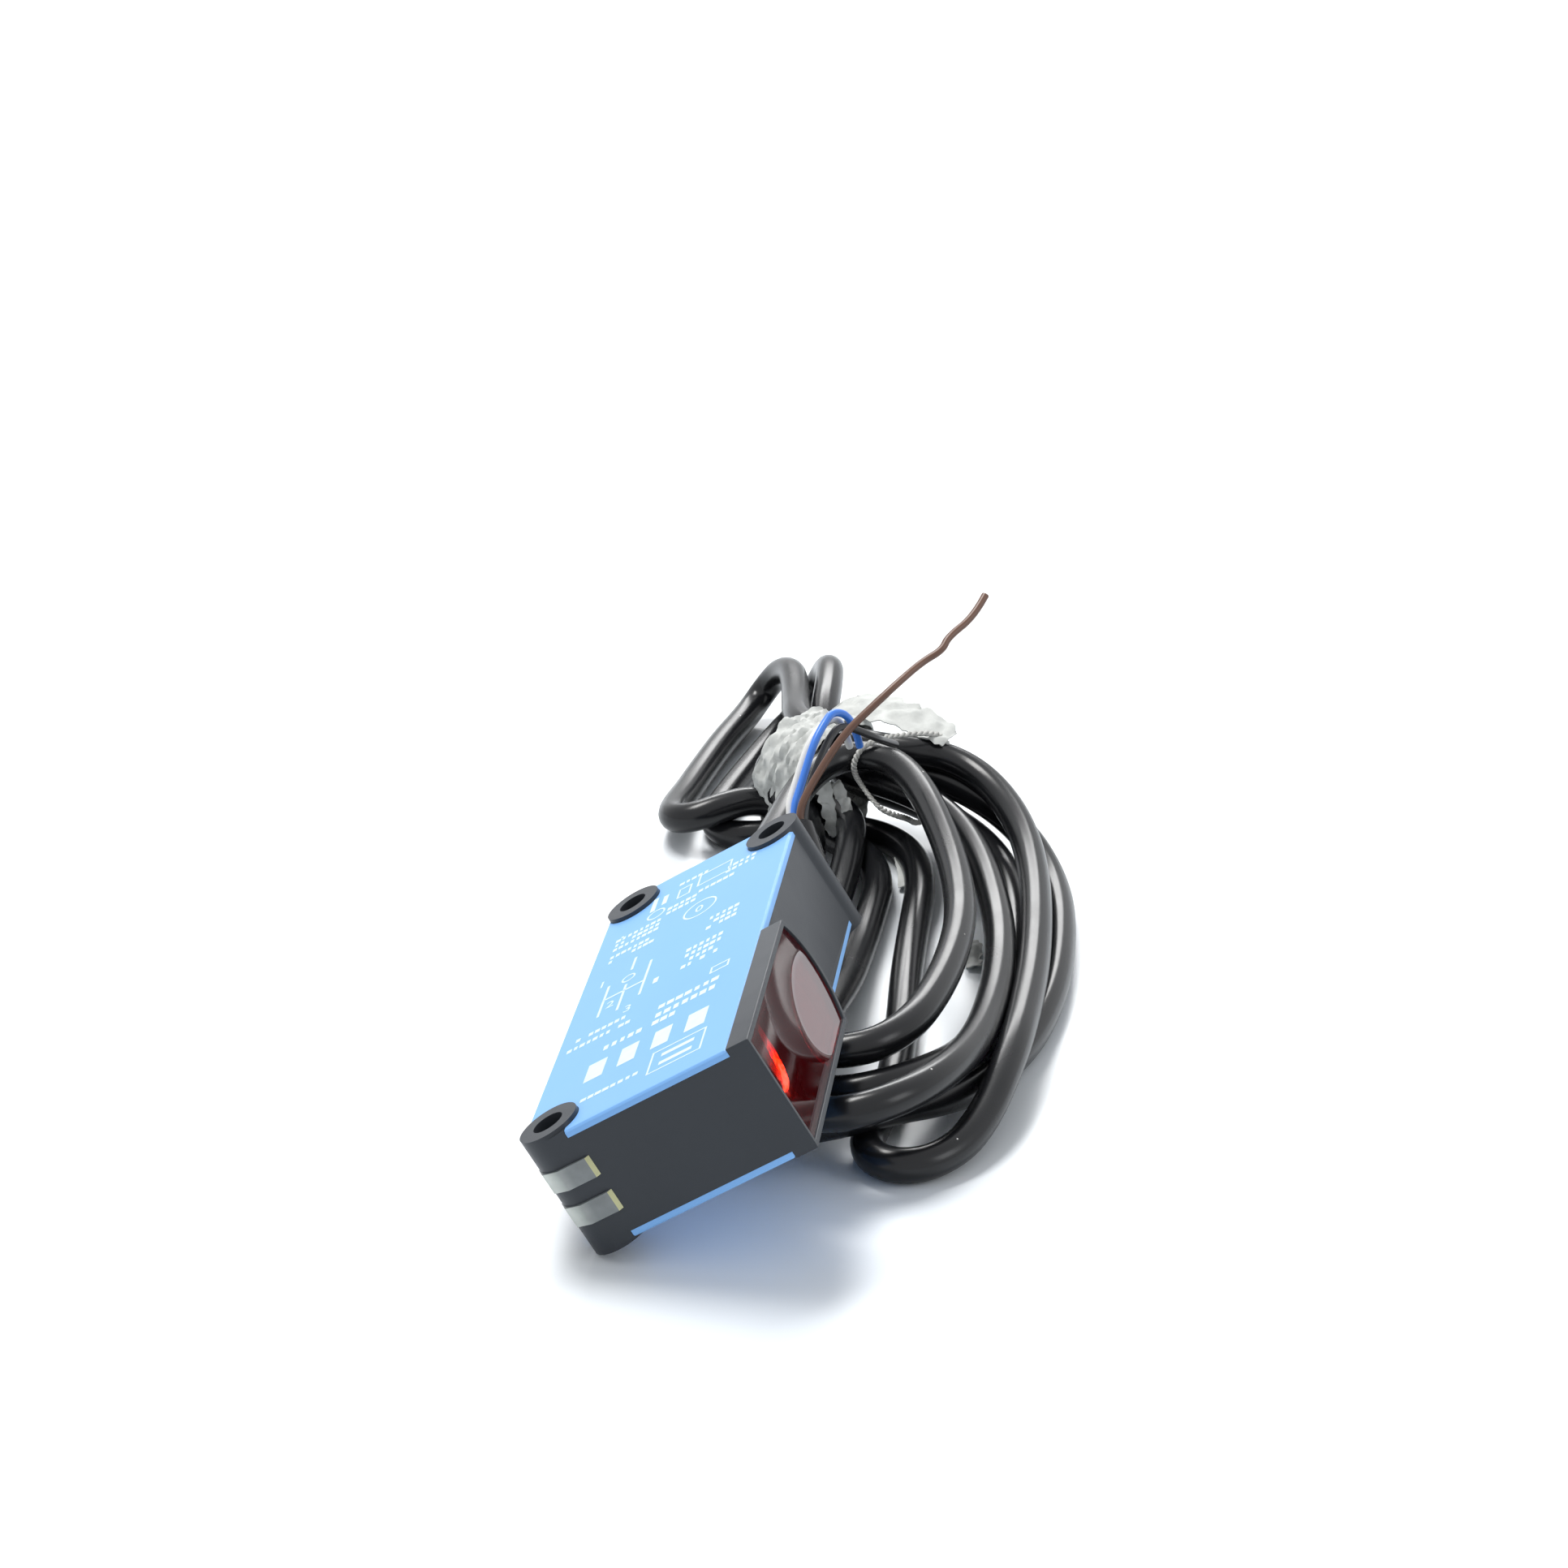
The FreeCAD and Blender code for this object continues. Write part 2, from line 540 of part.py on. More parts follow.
def rounded_path(points, closed=False):
    """Straight runs joined by tangent arcs as large as their two runs allow."""
    count = len(points)
    corners = range(count) if closed else range(1, count - 1)
    arcs, radii = {}, []
    for i in corners:
        here, back, ahead = points[i], points[i - 1], points[(i + 1) % count]
        run_in, run_out = here - back, ahead - here
        turn = run_in.getAngle(run_out)
        reach = 0.45 * min(run_in.Length, run_out.Length)
        radius = reach / math.tan(turn / 2)
        to_back = (back - here).normalize()
        to_ahead = (ahead - here).normalize()
        inward = (to_back + to_ahead).normalize()
        middle = here + inward * (radius / math.cos(turn / 2) - radius)
        arcs[i] = (here + to_back * reach, middle, here + to_ahead * reach)
        radii.append(radius)
    edges = []
    for i in range(count if closed else count - 1):
        j = (i + 1) % count
        start = arcs[i][2] if i in arcs else points[i]
        end = arcs[j][0] if j in arcs else points[j]
        edges.append(Part.LineSegment(start, end).toShape())
        if j in arcs:
            edges.append(Part.Arc(*arcs[j]).toShape())
    return Part.Wire(edges), radii


def make_tube(label, route, radius, tipped=False):
    """Round cord along a route, in the tipped frame, or in the sensor's own axes if tipped."""
    path, radii = rounded_path([V(*point) for point in route])
    start, direction = V(*route[0]), V(*route[1]) - V(*route[0])
    profile = Part.Wire(Part.Circle(start, direction, radius).toShape())
    solid = path.makePipeShell([profile], True, False)
    expected = math.pi * radius ** 2 * path.Length
    print(f"{label}: length {path.Length:.1f}, radii "
          + " ".join(f"{value:.1f}" for value in radii)
          + f", volume over section times length {solid.Volume / expected:.4f}")
    node = doc.addObject("Part::Feature", label)
    node.Label = label
    node.Shape = solid
    if tipped:
        tip(node)
    else:
        NODES.append(node)


EXIT = V(D["exit_x"], 0, D["exit_z"])


def tipped_point(point):
    """A point of the sensor's own axes, moved to where the tipped sensor holds it."""
    return NODES[0].Placement.multVec(point)


def make_cable():
    """The stretch from the sensor to the hank, and the jacket's free end with its four cores."""
    start = tipped_point(V(EXIT.x, D["jacket_end"], EXIT.z))
    outside = tipped_point(V(EXIT.x, D["total_length"] + 8, EXIT.z))
    lead = [tuple(start), tuple(outside), (0.3, 60.0, 15.3), (1.2, 73.0, 14.4), (2.4, 82.0, 14.4),
            (6.0, 89.4, 15.0), (12.0, 92.6, 15.6)]
    make_tube("cable_lead", lead, D["cable_radius"])
    free_end = [(11.2, 40.0, 8.8), (10.8, 47.0, 11.4), (8.2, 54.0, 14.2), (5.2, 60.4, 18.2)]
    make_tube("cable_free_end", free_end, D["cable_radius"])

    brown = [(5.5, 60.3, 19.3), (5.0, 60.6, 20.9), (7.2, 63.3, 25.1), (11.1, 66.3, 31.1),
             (14.9, 68.7, 34.5), (18.3, 71.4, 37.3), (21.7, 76.0, 39.3), (24.6, 77.6, 40.7),
             (25.2, 79.4, 42.1), (28.8, 83.4, 44.1), (30.2, 86.6, 46.4)]
    blue = [(4.6, 60.7, 18.3), (4.1, 61.9, 20.5), (5.0, 64.6, 23.3), (6.4, 68.2, 28.5),
            (7.6, 71.2, 30.6), (8.8, 74.4, 31.7), (11.4, 77.3, 29.4), (12.2, 79.8, 24.0)]
    white = [(4.4, 61.5, 17.5), (3.2, 62.8, 19.8), (4.0, 66.3, 22.9), (5.5, 70.1, 27.7),
             (6.8, 72.9, 29.4), (8.6, 75.9, 30.0), (9.8, 78.7, 27.7), (10.4, 81.6, 23.4)]
    black = [(5.8, 61.2, 18.0), (5.7, 63.4, 20.2), (5.9, 66.5, 22.1), (7.4, 69.4, 26.1),
             (8.7, 72.1, 28.7), (10.0, 75.3, 29.2), (14.8, 78.4, 26.0), (15.6, 82.1, 24.1),
             (17.0, 86.7, 21.8)]
    for colour, route in (("brown", brown), ("blue", blue), ("white", white), ("black", black)):
        make_tube(colour + "_conductor", route, D["conductor_radius"])


def make_inner_leads():
    """Four insulated cores from the jacket's end down to solder pads on the main board."""
    start_y = D["jacket_end"]
    landing = D["board_low"] + D["board_thickness"] + D["conductor_radius"]
    for i, colour in enumerate(("brown", "white", "blue", "black")):
        side = -1 if i < 2 else 1
        level = -0.85 if i in (0, 3) else 0.85
        pad_x = EXIT.x + (i - 1.5) * 3.0
        route = [(EXIT.x + 0.85 * side, start_y, EXIT.z + level),
                 (EXIT.x + 0.85 * side, start_y - 1.3, EXIT.z + level),
                 ((EXIT.x + pad_x + side) / 2, start_y - 3.2, EXIT.z + level * 0.9 + 0.9),
                 (pad_x, start_y - 5.0, landing + 0.7 + 0.3 * level),
                 (pad_x, start_y - 7.0, landing)]
        make_tube(colour + "_inner_lead", route, 0.6, tipped=True)


WAIST = V(7.5, 101.0, D["waist_height"])
WAIST_RUN = V(0.86, -0.51, 0).normalize()


def waist_ring(radius, length, offset, inner=None):
    """A cylinder, or a band, along the waist of the hank."""
    start = WAIST + WAIST_RUN * (offset - length / 2)
    solid = Part.makeCylinder(radius, length, start, WAIST_RUN)
    if inner:
        solid = solid.cut(Part.makeCylinder(inner, length, start, WAIST_RUN))
    return solid


def lobe(outline, height):
    """One lobe of the hank: its outline on the surface, raised to its height."""
    path, _ = rounded_path([V(x, y, 0) for x, y in outline], closed=True)
    return Part.Face(path).extrude(V(0, 0, height))


def make_hank():
    front = lobe([(10.0, 97.5), (18.5, 106.5), (32.0, 105.5), (42.5, 93.0), (47.0, 68.0),
                  (46.8, 38.0), (43.6, 12.0), (37.5, -9.0), (30.0, -16.8), (16.0, -18.6),
                  (6.0, -12.0), (0.6, 4.0), (0.2, 30.0), (0.8, 60.0), (1.0, 84.0)], D["hank_top"])
    back = lobe([(-3.0, 90.6), (4.8, 104.0), (5.2, 130.0), (4.2, 148.0), (0.6, 157.0),
                 (-10.0, 156.4), (-16.6, 150.0), (-20.2, 130.0), (-22.0, 106.0), (-21.8, 92.0),
                 (-16.0, 88.8)],
                D["hank_back_top"])
    waist = waist_ring(D["waist_radius"], D["waist_length"], 0)
    sensor_space = Part.makeBox(D["total_depth"] + 2 * D["hank_clearance"],
                                D["total_length"] + 2 * D["hank_clearance"],
                                3 * D["total_thickness"],
                                V(*[-D["hank_clearance"]] * 3))
    sensor_space.Placement = NODES[0].Placement
    tape_band = waist_ring(D["waist_radius"] + D["tape_thickness"], D["tape_length"], -1.5,
                           D["waist_radius"])
    tie_band = waist_ring(D["waist_radius"] + D["tie_thickness"], D["tie_length"], 6.0,
                          D["waist_radius"])
    turns = front.fuse(back).fuse(waist).cut(sensor_space).cut(tape_band).cut(tie_band)
    for label, shape in (("cable_hank", turns.removeSplitter()), ("binding_tape", tape_band),
                         ("twist_tie", tie_band)):
        node = doc.addObject("Part::Feature", label)
        node.Label = label
        node.Shape = shape
        NODES.append(node)


# --- the whole object -------------------------------------------------------------------

make_housing()
make_cover("label_cover", COVER_UNDER, BOARD_TOP, COVER_UNDER, True)
make_cover("rear_cover", "dims.cover_inset", REAR_TOP, "dims.board_low", False)
make_window()
for guide, guide_low in (("power_light_guide", "dims.power_guide_low"),
                         ("status_light_guide", "dims.status_guide_low")):
    tip(light_guide(guide, guide_low))
make_carrier()
for channel, channel_place in CHANNELS:
    make_channel(channel, channel_place)
make_emitter_and_receiver()
make_main_board()
make_board_parts()
make_gland()
doc.recompute()
make_inner_leads()
make_cable()
make_hank()
doc.recompute()

for item in doc.Objects:
    if "Invalid" in item.State or "Error" in item.State:
        raise RuntimeError(f"{item.Label} failed: {item.State}")
for node in NODES:
    if node.Shape.isNull() or not node.Shape.isValid():
        raise RuntimeError(f"{node.Label} has no valid shape")

os.makedirs("parts", exist_ok=True)
for node in NODES:
    node.Shape.exportStep(f"parts/{node.Label}.step")
    size = node.Shape.BoundBox
    print(f"{node.Label}: {len(node.Shape.Solids)} solid(s), volume {node.Shape.Volume:.1f}, "
          f"x {size.XMin:.2f} to {size.XMax:.2f}, y {size.YMin:.2f} to {size.YMax:.2f}, "
          f"z {size.ZMin:.2f} to {size.ZMax:.2f}")
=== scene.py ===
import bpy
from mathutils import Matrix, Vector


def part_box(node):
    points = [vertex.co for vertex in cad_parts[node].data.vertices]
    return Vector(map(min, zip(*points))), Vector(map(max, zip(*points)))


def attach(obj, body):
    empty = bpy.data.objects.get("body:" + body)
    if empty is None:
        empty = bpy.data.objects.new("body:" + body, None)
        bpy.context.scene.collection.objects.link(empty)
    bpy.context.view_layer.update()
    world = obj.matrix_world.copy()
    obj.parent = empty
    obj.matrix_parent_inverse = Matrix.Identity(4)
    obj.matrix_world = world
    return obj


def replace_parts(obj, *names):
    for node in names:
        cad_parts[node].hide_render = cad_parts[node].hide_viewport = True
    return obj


bl_info = {
    "name": "Light Sensor with Hanked Cable",
    "version": (1, 0, 0),
    "blender": (4, 5, 0),
    "location": "3D View > Sidebar > Light Sensor",
    "description": "Builds a small light sensor's visible pieces, its hanked cable and the stage",
    "category": "Object",
}

import math

import bmesh
import bpy
from mathutils import Matrix, Vector, noise

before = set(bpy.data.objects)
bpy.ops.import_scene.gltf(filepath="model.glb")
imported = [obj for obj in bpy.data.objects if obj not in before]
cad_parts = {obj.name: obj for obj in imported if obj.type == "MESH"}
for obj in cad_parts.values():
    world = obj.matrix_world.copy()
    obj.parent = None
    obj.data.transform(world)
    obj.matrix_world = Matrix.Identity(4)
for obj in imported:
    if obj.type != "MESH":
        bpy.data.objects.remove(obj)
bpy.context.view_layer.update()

MM = 0.001
LEAN = math.radians(31.4)
THICKNESS = 17.6
COVER_FACE = 17.03
WINDOW_FACE = 33.15
HOUSING_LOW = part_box("housing_frame")[0]
# The sensor leans back on its long rear edge; its own axes are depth, length and thickness.
SENSOR = Matrix.Translation((HOUSING_LOW.x + math.sin(LEAN) * THICKNESS * MM, HOUSING_LOW.y,
                             HOUSING_LOW.z)) @ Matrix.Rotation(-LEAN, 4, "Y")


def spot(depth, length, height):
    """A place given in the sensor's own millimetres, in the row frame."""
    return SENSOR @ (Vector((depth, length, height)) * MM)


# --- the cable's route, in millimetres ----------------------------------------------------

LEAD = [
    (-0.5, 31.75, 15.7), (-0.5, 45.75, 15.7), (0.3, 60.0, 15.3), (1.2, 73.0, 14.4),
    (2.2, 83.0, 14.4), (4.4, 92.2, 15.0),
]
TOP_TURN = [
    (9.0, 97.0, 15.7), (14.6, 96.0, 15.9), (19.0, 90.4, 15.5), (22.6, 81.6, 14.7),
    (26.2, 70.0, 13.2), (28.9, 57.5, 12.2), (30.2, 45.5, 11.8), (29.9, 32.5, 11.8),
    (28.4, 20.0, 11.9), (26.2, 10.6, 11.9), (22.0, 4.0, 11.5), (16.2, 2.6, 10.7),
    (12.8, 7.2, 9.8), (12.9, 14.0, 8.9), (13.8, 24.0, 7.8), (14.8, 37.0, 5.4), (15.0, 52.0, 3.0),
    (15.4, 66.0, 2.4), (15.6, 78.5, 2.4), (12.6, 89.0, 2.4), (5.1, 96.4, 2.4),
]
REAR_TURN_ONE = [
    (-1.8, 99.2, 5.4), (-6.2, 97.6, 7.2), (-10.6, 94.6, 7.0), (-14.8, 92.0, 6.0),
    (-18.6, 94.0, 4.8), (-19.4, 100.6, 3.8), (-18.6, 109.0, 3.0), (-17.7, 119.0, 2.6),
    (-15.9, 133.0, 2.6), (-13.9, 143.5, 2.6), (-12.6, 149.6, 3.2), (-10.6, 151.6, 6.0),
    (-8.0, 149.4, 9.8), (-5.4, 143.4, 12.0), (-4.0, 136.0, 12.4), (-2.9, 126.5, 12.8),
    (-1.6, 117.0, 14.0), (1.0, 110.0, 15.0), (4.6, 105.6, 15.4),
]
LONG_TURN = [
    (10.5, 103.6, 15.0), (16.5, 101.8, 15.0), (23.0, 102.4, 14.2), (29.0, 99.6, 12.6),
    (34.0, 92.5, 10.6), (37.5, 82.5, 9.0), (39.6, 69.0, 8.0), (40.6, 55.0, 7.5),
    (40.9, 41.0, 7.1), (40.5, 28.0, 7.1), (39.8, 16.5, 7.1), (38.5, 7.4, 6.0), (36.8, -0.2, 4.2),
    (34.0, -7.0, 2.8), (29.6, -11.9, 2.4), (24.4, -12.2, 2.4), (21.6, -7.8, 2.4),
    (22.2, -1.0, 2.4), (23.3, 7.0, 2.4), (23.6, 18.0, 2.4), (23.2, 31.0, 2.4), (22.4, 46.0, 2.4),
    (22.1, 64.0, 2.4), (22.0, 78.5, 2.5), (19.6, 90.0, 2.6), (14.0, 97.2, 2.4),
]
REAR_TURN_TWO = [
    (7.2, 99.0, 2.4), (0.6, 96.8, 2.4), (-5.6, 94.2, 2.4), (-10.8, 94.4, 2.4),
    (-13.2, 101.0, 2.4), (-12.1, 110.0, 2.4), (-10.1, 122.0, 2.4), (-7.7, 135.0, 2.4),
    (-5.8, 144.5, 2.4), (-4.3, 150.4, 2.6), (-2.5, 153.8, 4.8), (-0.6, 152.4, 9.2),
    (0.8, 146.0, 12.0), (1.5, 137.0, 12.0), (1.8, 128.0, 11.4), (2.4, 119.0, 9.6),
    (5.6, 111.2, 7.2),
]
INNER_TURN = [
    (12.0, 106.6, 6.4), (19.5, 103.2, 5.6), (27.5, 98.6, 3.6), (33.0, 90.0, 2.4),
    (36.0, 77.0, 2.4), (37.3, 62.0, 2.4), (37.0, 46.0, 2.4), (35.2, 32.0, 2.4), (32.7, 19.0, 3.4),
    (29.0, 8.0, 6.2), (24.4, 1.8, 7.1), (18.6, 0.0, 6.2), (13.0, 3.4, 4.4), (9.5, 11.5, 2.6),
    (8.6, 24.0, 2.4), (8.6, 40.0, 2.4), (9.2, 56.0, 2.4), (10.0, 70.0, 3.4), (10.6, 82.0, 5.6),
    (10.0, 92.5, 6.6),
]
SHORT_TURN_ONE = [
    (6.0, 98.6, 6.6), (2.6, 100.2, 6.6), (-1.0, 102.6, 6.6), (-3.2, 107.0, 6.8),
    (-1.4, 112.0, 7.4), (3.0, 113.4, 9.0), (7.0, 110.6, 10.6),
]
OUTER_TURN = [
    (10.6, 107.0, 10.8), (17.5, 104.2, 10.6), (25.0, 101.6, 9.8), (32.0, 98.0, 7.4),
    (37.6, 92.4, 4.6), (41.2, 84.0, 2.6), (43.3, 72.0, 2.4), (44.0, 58.0, 2.4), (43.8, 45.0, 2.4),
    (42.4, 33.0, 2.4), (40.0, 22.5, 2.4), (36.0, 12.5, 2.6), (31.0, 3.0, 4.6), (25.0, -5.0, 7.1),
    (17.8, -8.4, 6.2), (11.2, -6.6, 3.8), (6.0, 0.4, 2.6), (3.6, 13.0, 2.4), (3.0, 30.0, 2.4),
    (3.4, 48.0, 2.4), (4.2, 66.0, 2.4), (4.8, 81.0, 3.8), (3.4, 91.6, 6.2),
]
SHORT_TURN_TWO = [
    (0.6, 95.6, 7.4), (-2.8, 97.4, 8.8), (-4.8, 101.8, 10.2), (-3.4, 106.8, 11.2),
    (0.6, 108.8, 11.6), (4.4, 106.0, 11.4),
]
WIDE_TURN = [
    (7.9, 101.7, 11.0), (16.5, 97.0, 10.7), (22.5, 92.5, 10.0), (27.5, 85.5, 9.0),
    (31.2, 75.5, 8.0), (33.8, 63.5, 7.3), (35.6, 51.0, 7.1), (36.2, 37.5, 7.1), (35.7, 24.0, 7.6),
    (34.4, 11.0, 8.9), (31.6, -1.6, 10.9), (26.8, -11.2, 11.8), (20.4, -15.2, 11.0),
    (14.0, -12.6, 9.2), (9.8, -4.6, 7.7), (8.7, 7.0, 7.1), (8.8, 20.0, 7.0),
]
FREE_END = [
    (9.8, 31.0, 7.2), (11.2, 40.0, 8.8), (10.8, 47.0, 11.4), (8.2, 54.0, 14.2), (5.2, 60.4, 18.2),
]
CABLE_ROUTE = (LEAD + TOP_TURN + REAR_TURN_ONE + LONG_TURN + REAR_TURN_TWO + INNER_TURN
               + SHORT_TURN_ONE + OUTER_TURN + SHORT_TURN_TWO + WIDE_TURN + FREE_END)

CORE_ROUTES = {
    "brown": (0.047, [(5.5, 60.3, 19.3), (5.0, 60.6, 20.9), (7.2, 63.3, 25.1), (11.1, 66.3, 31.1),
                      (14.9, 68.7, 34.5), (18.3, 71.4, 37.3), (21.7, 76.0, 39.3),
                      (24.6, 77.6, 40.7), (25.2, 79.4, 42.1), (28.8, 83.4, 44.1),
                      (30.2, 86.6, 46.4)]),
    "blue": (0.0305, [(4.6, 60.7, 18.3), (4.1, 61.9, 20.5), (5.0, 64.6, 23.3), (6.4, 68.2, 28.5),
                      (7.6, 71.2, 30.6), (8.8, 74.4, 31.7), (11.4, 77.3, 29.4), (12.2, 79.8, 24.0)]),
    "white": (0.030, [(4.4, 61.5, 17.5), (3.2, 62.8, 19.8), (4.0, 66.3, 22.9), (5.5, 70.1, 27.7),
                      (6.8, 72.9, 29.4), (8.6, 75.9, 30.0), (9.8, 78.7, 27.7), (10.5, 81.8, 23.1)]),
    "black": (0.035, [(5.8, 61.2, 18.0), (5.7, 63.4, 20.2), (5.9, 66.5, 22.1), (7.4, 69.4, 26.1),
                      (8.7, 72.1, 28.7), (10.0, 75.3, 29.2), (14.8, 78.4, 26.0), (15.6, 82.1, 24.1),
                      (17.0, 86.7, 21.8)]),
}
# where the tape holds the turns together, the way they run there, and the way across them
WAIST = Vector((7.5, 101.0, 9.4))
WAIST_RUN = Vector((0.86, -0.51, 0.0)).normalized()
WAIST_SIDE = Vector((0.51, 0.86, 0.0)).normalized()


# --- settings -----------------------------------------------------------------------------

def colour_setting(name, description, default):
    """A colour in a settings group."""
    return bpy.props.FloatVectorProperty(name=name, description=description, subtype="COLOR",
                                         size=4, min=0, max=1, default=default)


def number_setting(name, description, default, low, high, **kind):
    """A number in a settings group."""
    return bpy.props.FloatProperty(name=name, description=description, default=default,
                                   min=low, max=high, **kind)


class SensorFinish(bpy.types.PropertyGroup):
    """Colours and finishes of the sensor."""
    housing: colour_setting("Housing", "Colour of the moulded housing", (0.031, 0.036, 0.044, 1))
    cover: colour_setting("Covers", "Colour of the two covers", (0.205, 0.44, 0.83, 1))
    window: colour_setting("Window", "Tint of the front window", (0.30, 0.012, 0.018, 1))
    # the strength of the painted glow behind the window
    glow: number_setting("Glow", "Strength of the lit sender behind the window", 45.0, 0, 200)


class CableFinish(bpy.types.PropertyGroup):
    """Sizes and colours of the cable."""
    diameter: number_setting("Jacket Diameter", "Outer diameter of the cable's jacket",
                             0.0047, 0.001, 0.02, unit="LENGTH")
    core: number_setting("Core Diameter", "Outer diameter of one insulated core",
                         0.00118, 0.0005, 0.005, unit="LENGTH")
    jacket: colour_setting("Jacket", "Colour of the jacket", (0.0075, 0.008, 0.0095, 1))
    gloss: number_setting("Jacket Roughness", "Roughness of the jacket", 0.25, 0, 1,
                          subtype="FACTOR")


class StageFinish(bpy.types.PropertyGroup):
    """Floor, lamps and camera."""
    floor: colour_setting("Floor", "Colour of the floor", (0.86, 0.90, 0.94, 1))
    lens: number_setting("Lens", "Focal length of the camera, in millimetres", 83.1, 20, 300)
    ambient: number_setting("Ambient", "Level of the even light from all round", 0.6, 0, 2)
    softbox: number_setting("Softbox", "Power of the lamp overhead", 7.0, 0, 200, unit="POWER")


# --- shared shader groups -----------------------------------------------------------------

class Tree:
    """Short ways to add and join the nodes of one tree."""

    def __init__(self, tree):
        self.tree = tree

    def add(self, kind, inputs=None, **settings):
        node = self.tree.nodes.new(kind)
        for key, value in settings.items():
            setattr(node, key, value)
        self.feed(node.inputs, inputs or {})
        return node

    def feed(self, sockets, values):
        """Gives each named socket its constant, or a link from another node."""
        for key, value in values.items():
            if isinstance(value, bpy.types.NodeSocket):
                self.tree.links.new(value, sockets[key])
            else:
                sockets[key].default_value = value

    def math(self, operation, first, second=0.0, clamp=False):
        node = self.add("ShaderNodeMath", {0: first, 1: second}, operation=operation,
                        use_clamp=clamp)
        return node.outputs[0]

    def times(self, first, second):
        return self.math("MULTIPLY", first, second)

    def plus(self, first, second):
        return self.math("ADD", first, second)

    def vector(self, operation, inputs, output="Vector"):
        return self.add("ShaderNodeVectorMath", inputs, operation=operation).outputs[output]

    def noise_at(self, place, scale, detail, distortion=0.0, output="Fac"):
        node = self.add("ShaderNodeTexNoise", {"Vector": place, "Scale": scale, "Detail": detail,
                                               "Distortion": distortion})
        return node.outputs[output]

    def ranged(self, value, low, high, start=0.0, end=1.0):
        """A value's share of the way from low to high, carried over to start and end."""
        node = self.add("ShaderNodeMapRange", {"Value": value, "From Min": low, "From Max": high,
                                               "To Min": start, "To Max": end})
        return node.outputs[0]

    def bump(self, height, strength, distance):
        node = self.add("ShaderNodeBump", {"Strength": strength, "Distance": distance,
                                           "Height": height})
        return node.outputs["Normal"]

    def place_group(self, builder, place, **values):
        """A shared group at the pattern's place, with its own values."""
        return self.add("ShaderNodeGroup", {"Vector": place, **values},
                        node_tree=shared(builder)).outputs[0]

    def ramp(self, value, stops):
        """A colour ramp with these stops."""
        node = self.add("ShaderNodeValToRGB", {"Fac": value})
        for _ in stops[2:]:
            node.color_ramp.elements.new(0.5)
        for element, (position, colour) in zip(node.color_ramp.elements, stops):
            element.position, element.color = position, (*colour, 1)
        return node.outputs["Color"]


FLOAT, WHOLE, COLOUR = "NodeSocketFloat", "NodeSocketInt", "NodeSocketColor"
VECTOR = ("Vector", "NodeSocketVector", None)


def group(name, inputs, outputs, kind="ShaderNodeTree"):
    """A new node group, with the sockets that its inputs and its results have inside it."""
    tree = bpy.data.node_groups.new(name, kind)
    for label, socket, value in inputs:
        item = tree.interface.new_socket(label, in_out="INPUT", socket_type=socket)
        if value is not None:
            item.default_value = value
    for label, socket in outputs:
        tree.interface.new_socket(label, in_out="OUTPUT", socket_type=socket)
    nodes = Tree(tree)
    return nodes, nodes.add("NodeGroupInput").outputs, nodes.add("NodeGroupOutput").inputs


def moulded_grain():
    """Fine, even relief of moulded or eroded plastic."""
    nodes, given, out = group("Moulded Grain", [VECTOR, ("Scale", FLOAT, 2500.0)],
                              [("Height", FLOAT)])
    fine = nodes.noise_at(given["Vector"], given["Scale"], 2.0)
    soft = nodes.noise_at(given["Vector"], nodes.times(given["Scale"], 0.21), 1.0)
    nodes.feed(out, {"Height": nodes.plus(fine, nodes.times(soft, 0.5))})
    return nodes.tree


def tone_drift():
    """A colour that drifts a little lighter and darker, as pigment and handling leave it."""
    nodes, given, out = group(
        "Tone Drift", [VECTOR, ("Colour", COLOUR, (0.5, 0.5, 0.5, 1)), ("Amount", FLOAT, 0.1),
                       ("Scale", FLOAT, 60.0)], [("Colour", COLOUR)])
    patch = nodes.noise_at(given["Vector"], given["Scale"], 3.0)
    swing = nodes.times(nodes.math("SUBTRACT", patch, 0.5), given["Amount"])
    value = nodes.plus(nodes.times(swing, 2.0), 1.0)
    tint = nodes.add("ShaderNodeHueSaturation", {"Color": given["Colour"], "Value": value})
    nodes.feed(out, {"Colour": tint.outputs["Color"]})
    return nodes.tree


def settled_dust():
    """Sparse specks, thicker on faces that look up."""
    nodes, given, out = group(
        "Settled Dust", [VECTOR, ("Scale", FLOAT, 900.0), ("Amount", FLOAT, 0.1)],
        [("Mask", FLOAT)])
    cells = nodes.add("ShaderNodeTexVoronoi", {"Vector": given["Vector"], "Scale": given["Scale"]})
    dots = nodes.math("LESS_THAN", cells.outputs["Distance"], 0.13)
    pick = nodes.add("ShaderNodeSeparateColor", {"Color": cells.outputs["Color"]})
    chosen = nodes.math("LESS_THAN", pick.outputs[0], given["Amount"])
    facing = nodes.add("ShaderNodeNewGeometry")
    upward = nodes.add("ShaderNodeSeparateXYZ", {"Vector": facing.outputs["Normal"]})
    lying = nodes.ranged(upward.outputs["Z"], -0.3, 0.7)
    nodes.feed(out, {"Mask": nodes.times(nodes.times(dots, chosen), lying)})
    return nodes.tree


def handled_sheen():
    """Roughness that varies where fingers and packing have rubbed."""
    nodes, given, out = group(
        "Handled Sheen", [VECTOR, ("Roughness", FLOAT, 0.4), ("Swing", FLOAT, 0.08),
                          ("Scale", FLOAT, 90.0)], [("Roughness", FLOAT)])
    smear = nodes.noise_at(given["Vector"], given["Scale"], 4.0, 0.6)
    swing = nodes.times(nodes.math("SUBTRACT", smear, 0.5), given["Swing"])
    total = nodes.math("ADD", given["Roughness"], nodes.times(swing, 2.0), clamp=True)
    nodes.feed(out, {"Roughness": total})
    return nodes.tree


GROUPS = {}
FINISHES = {}


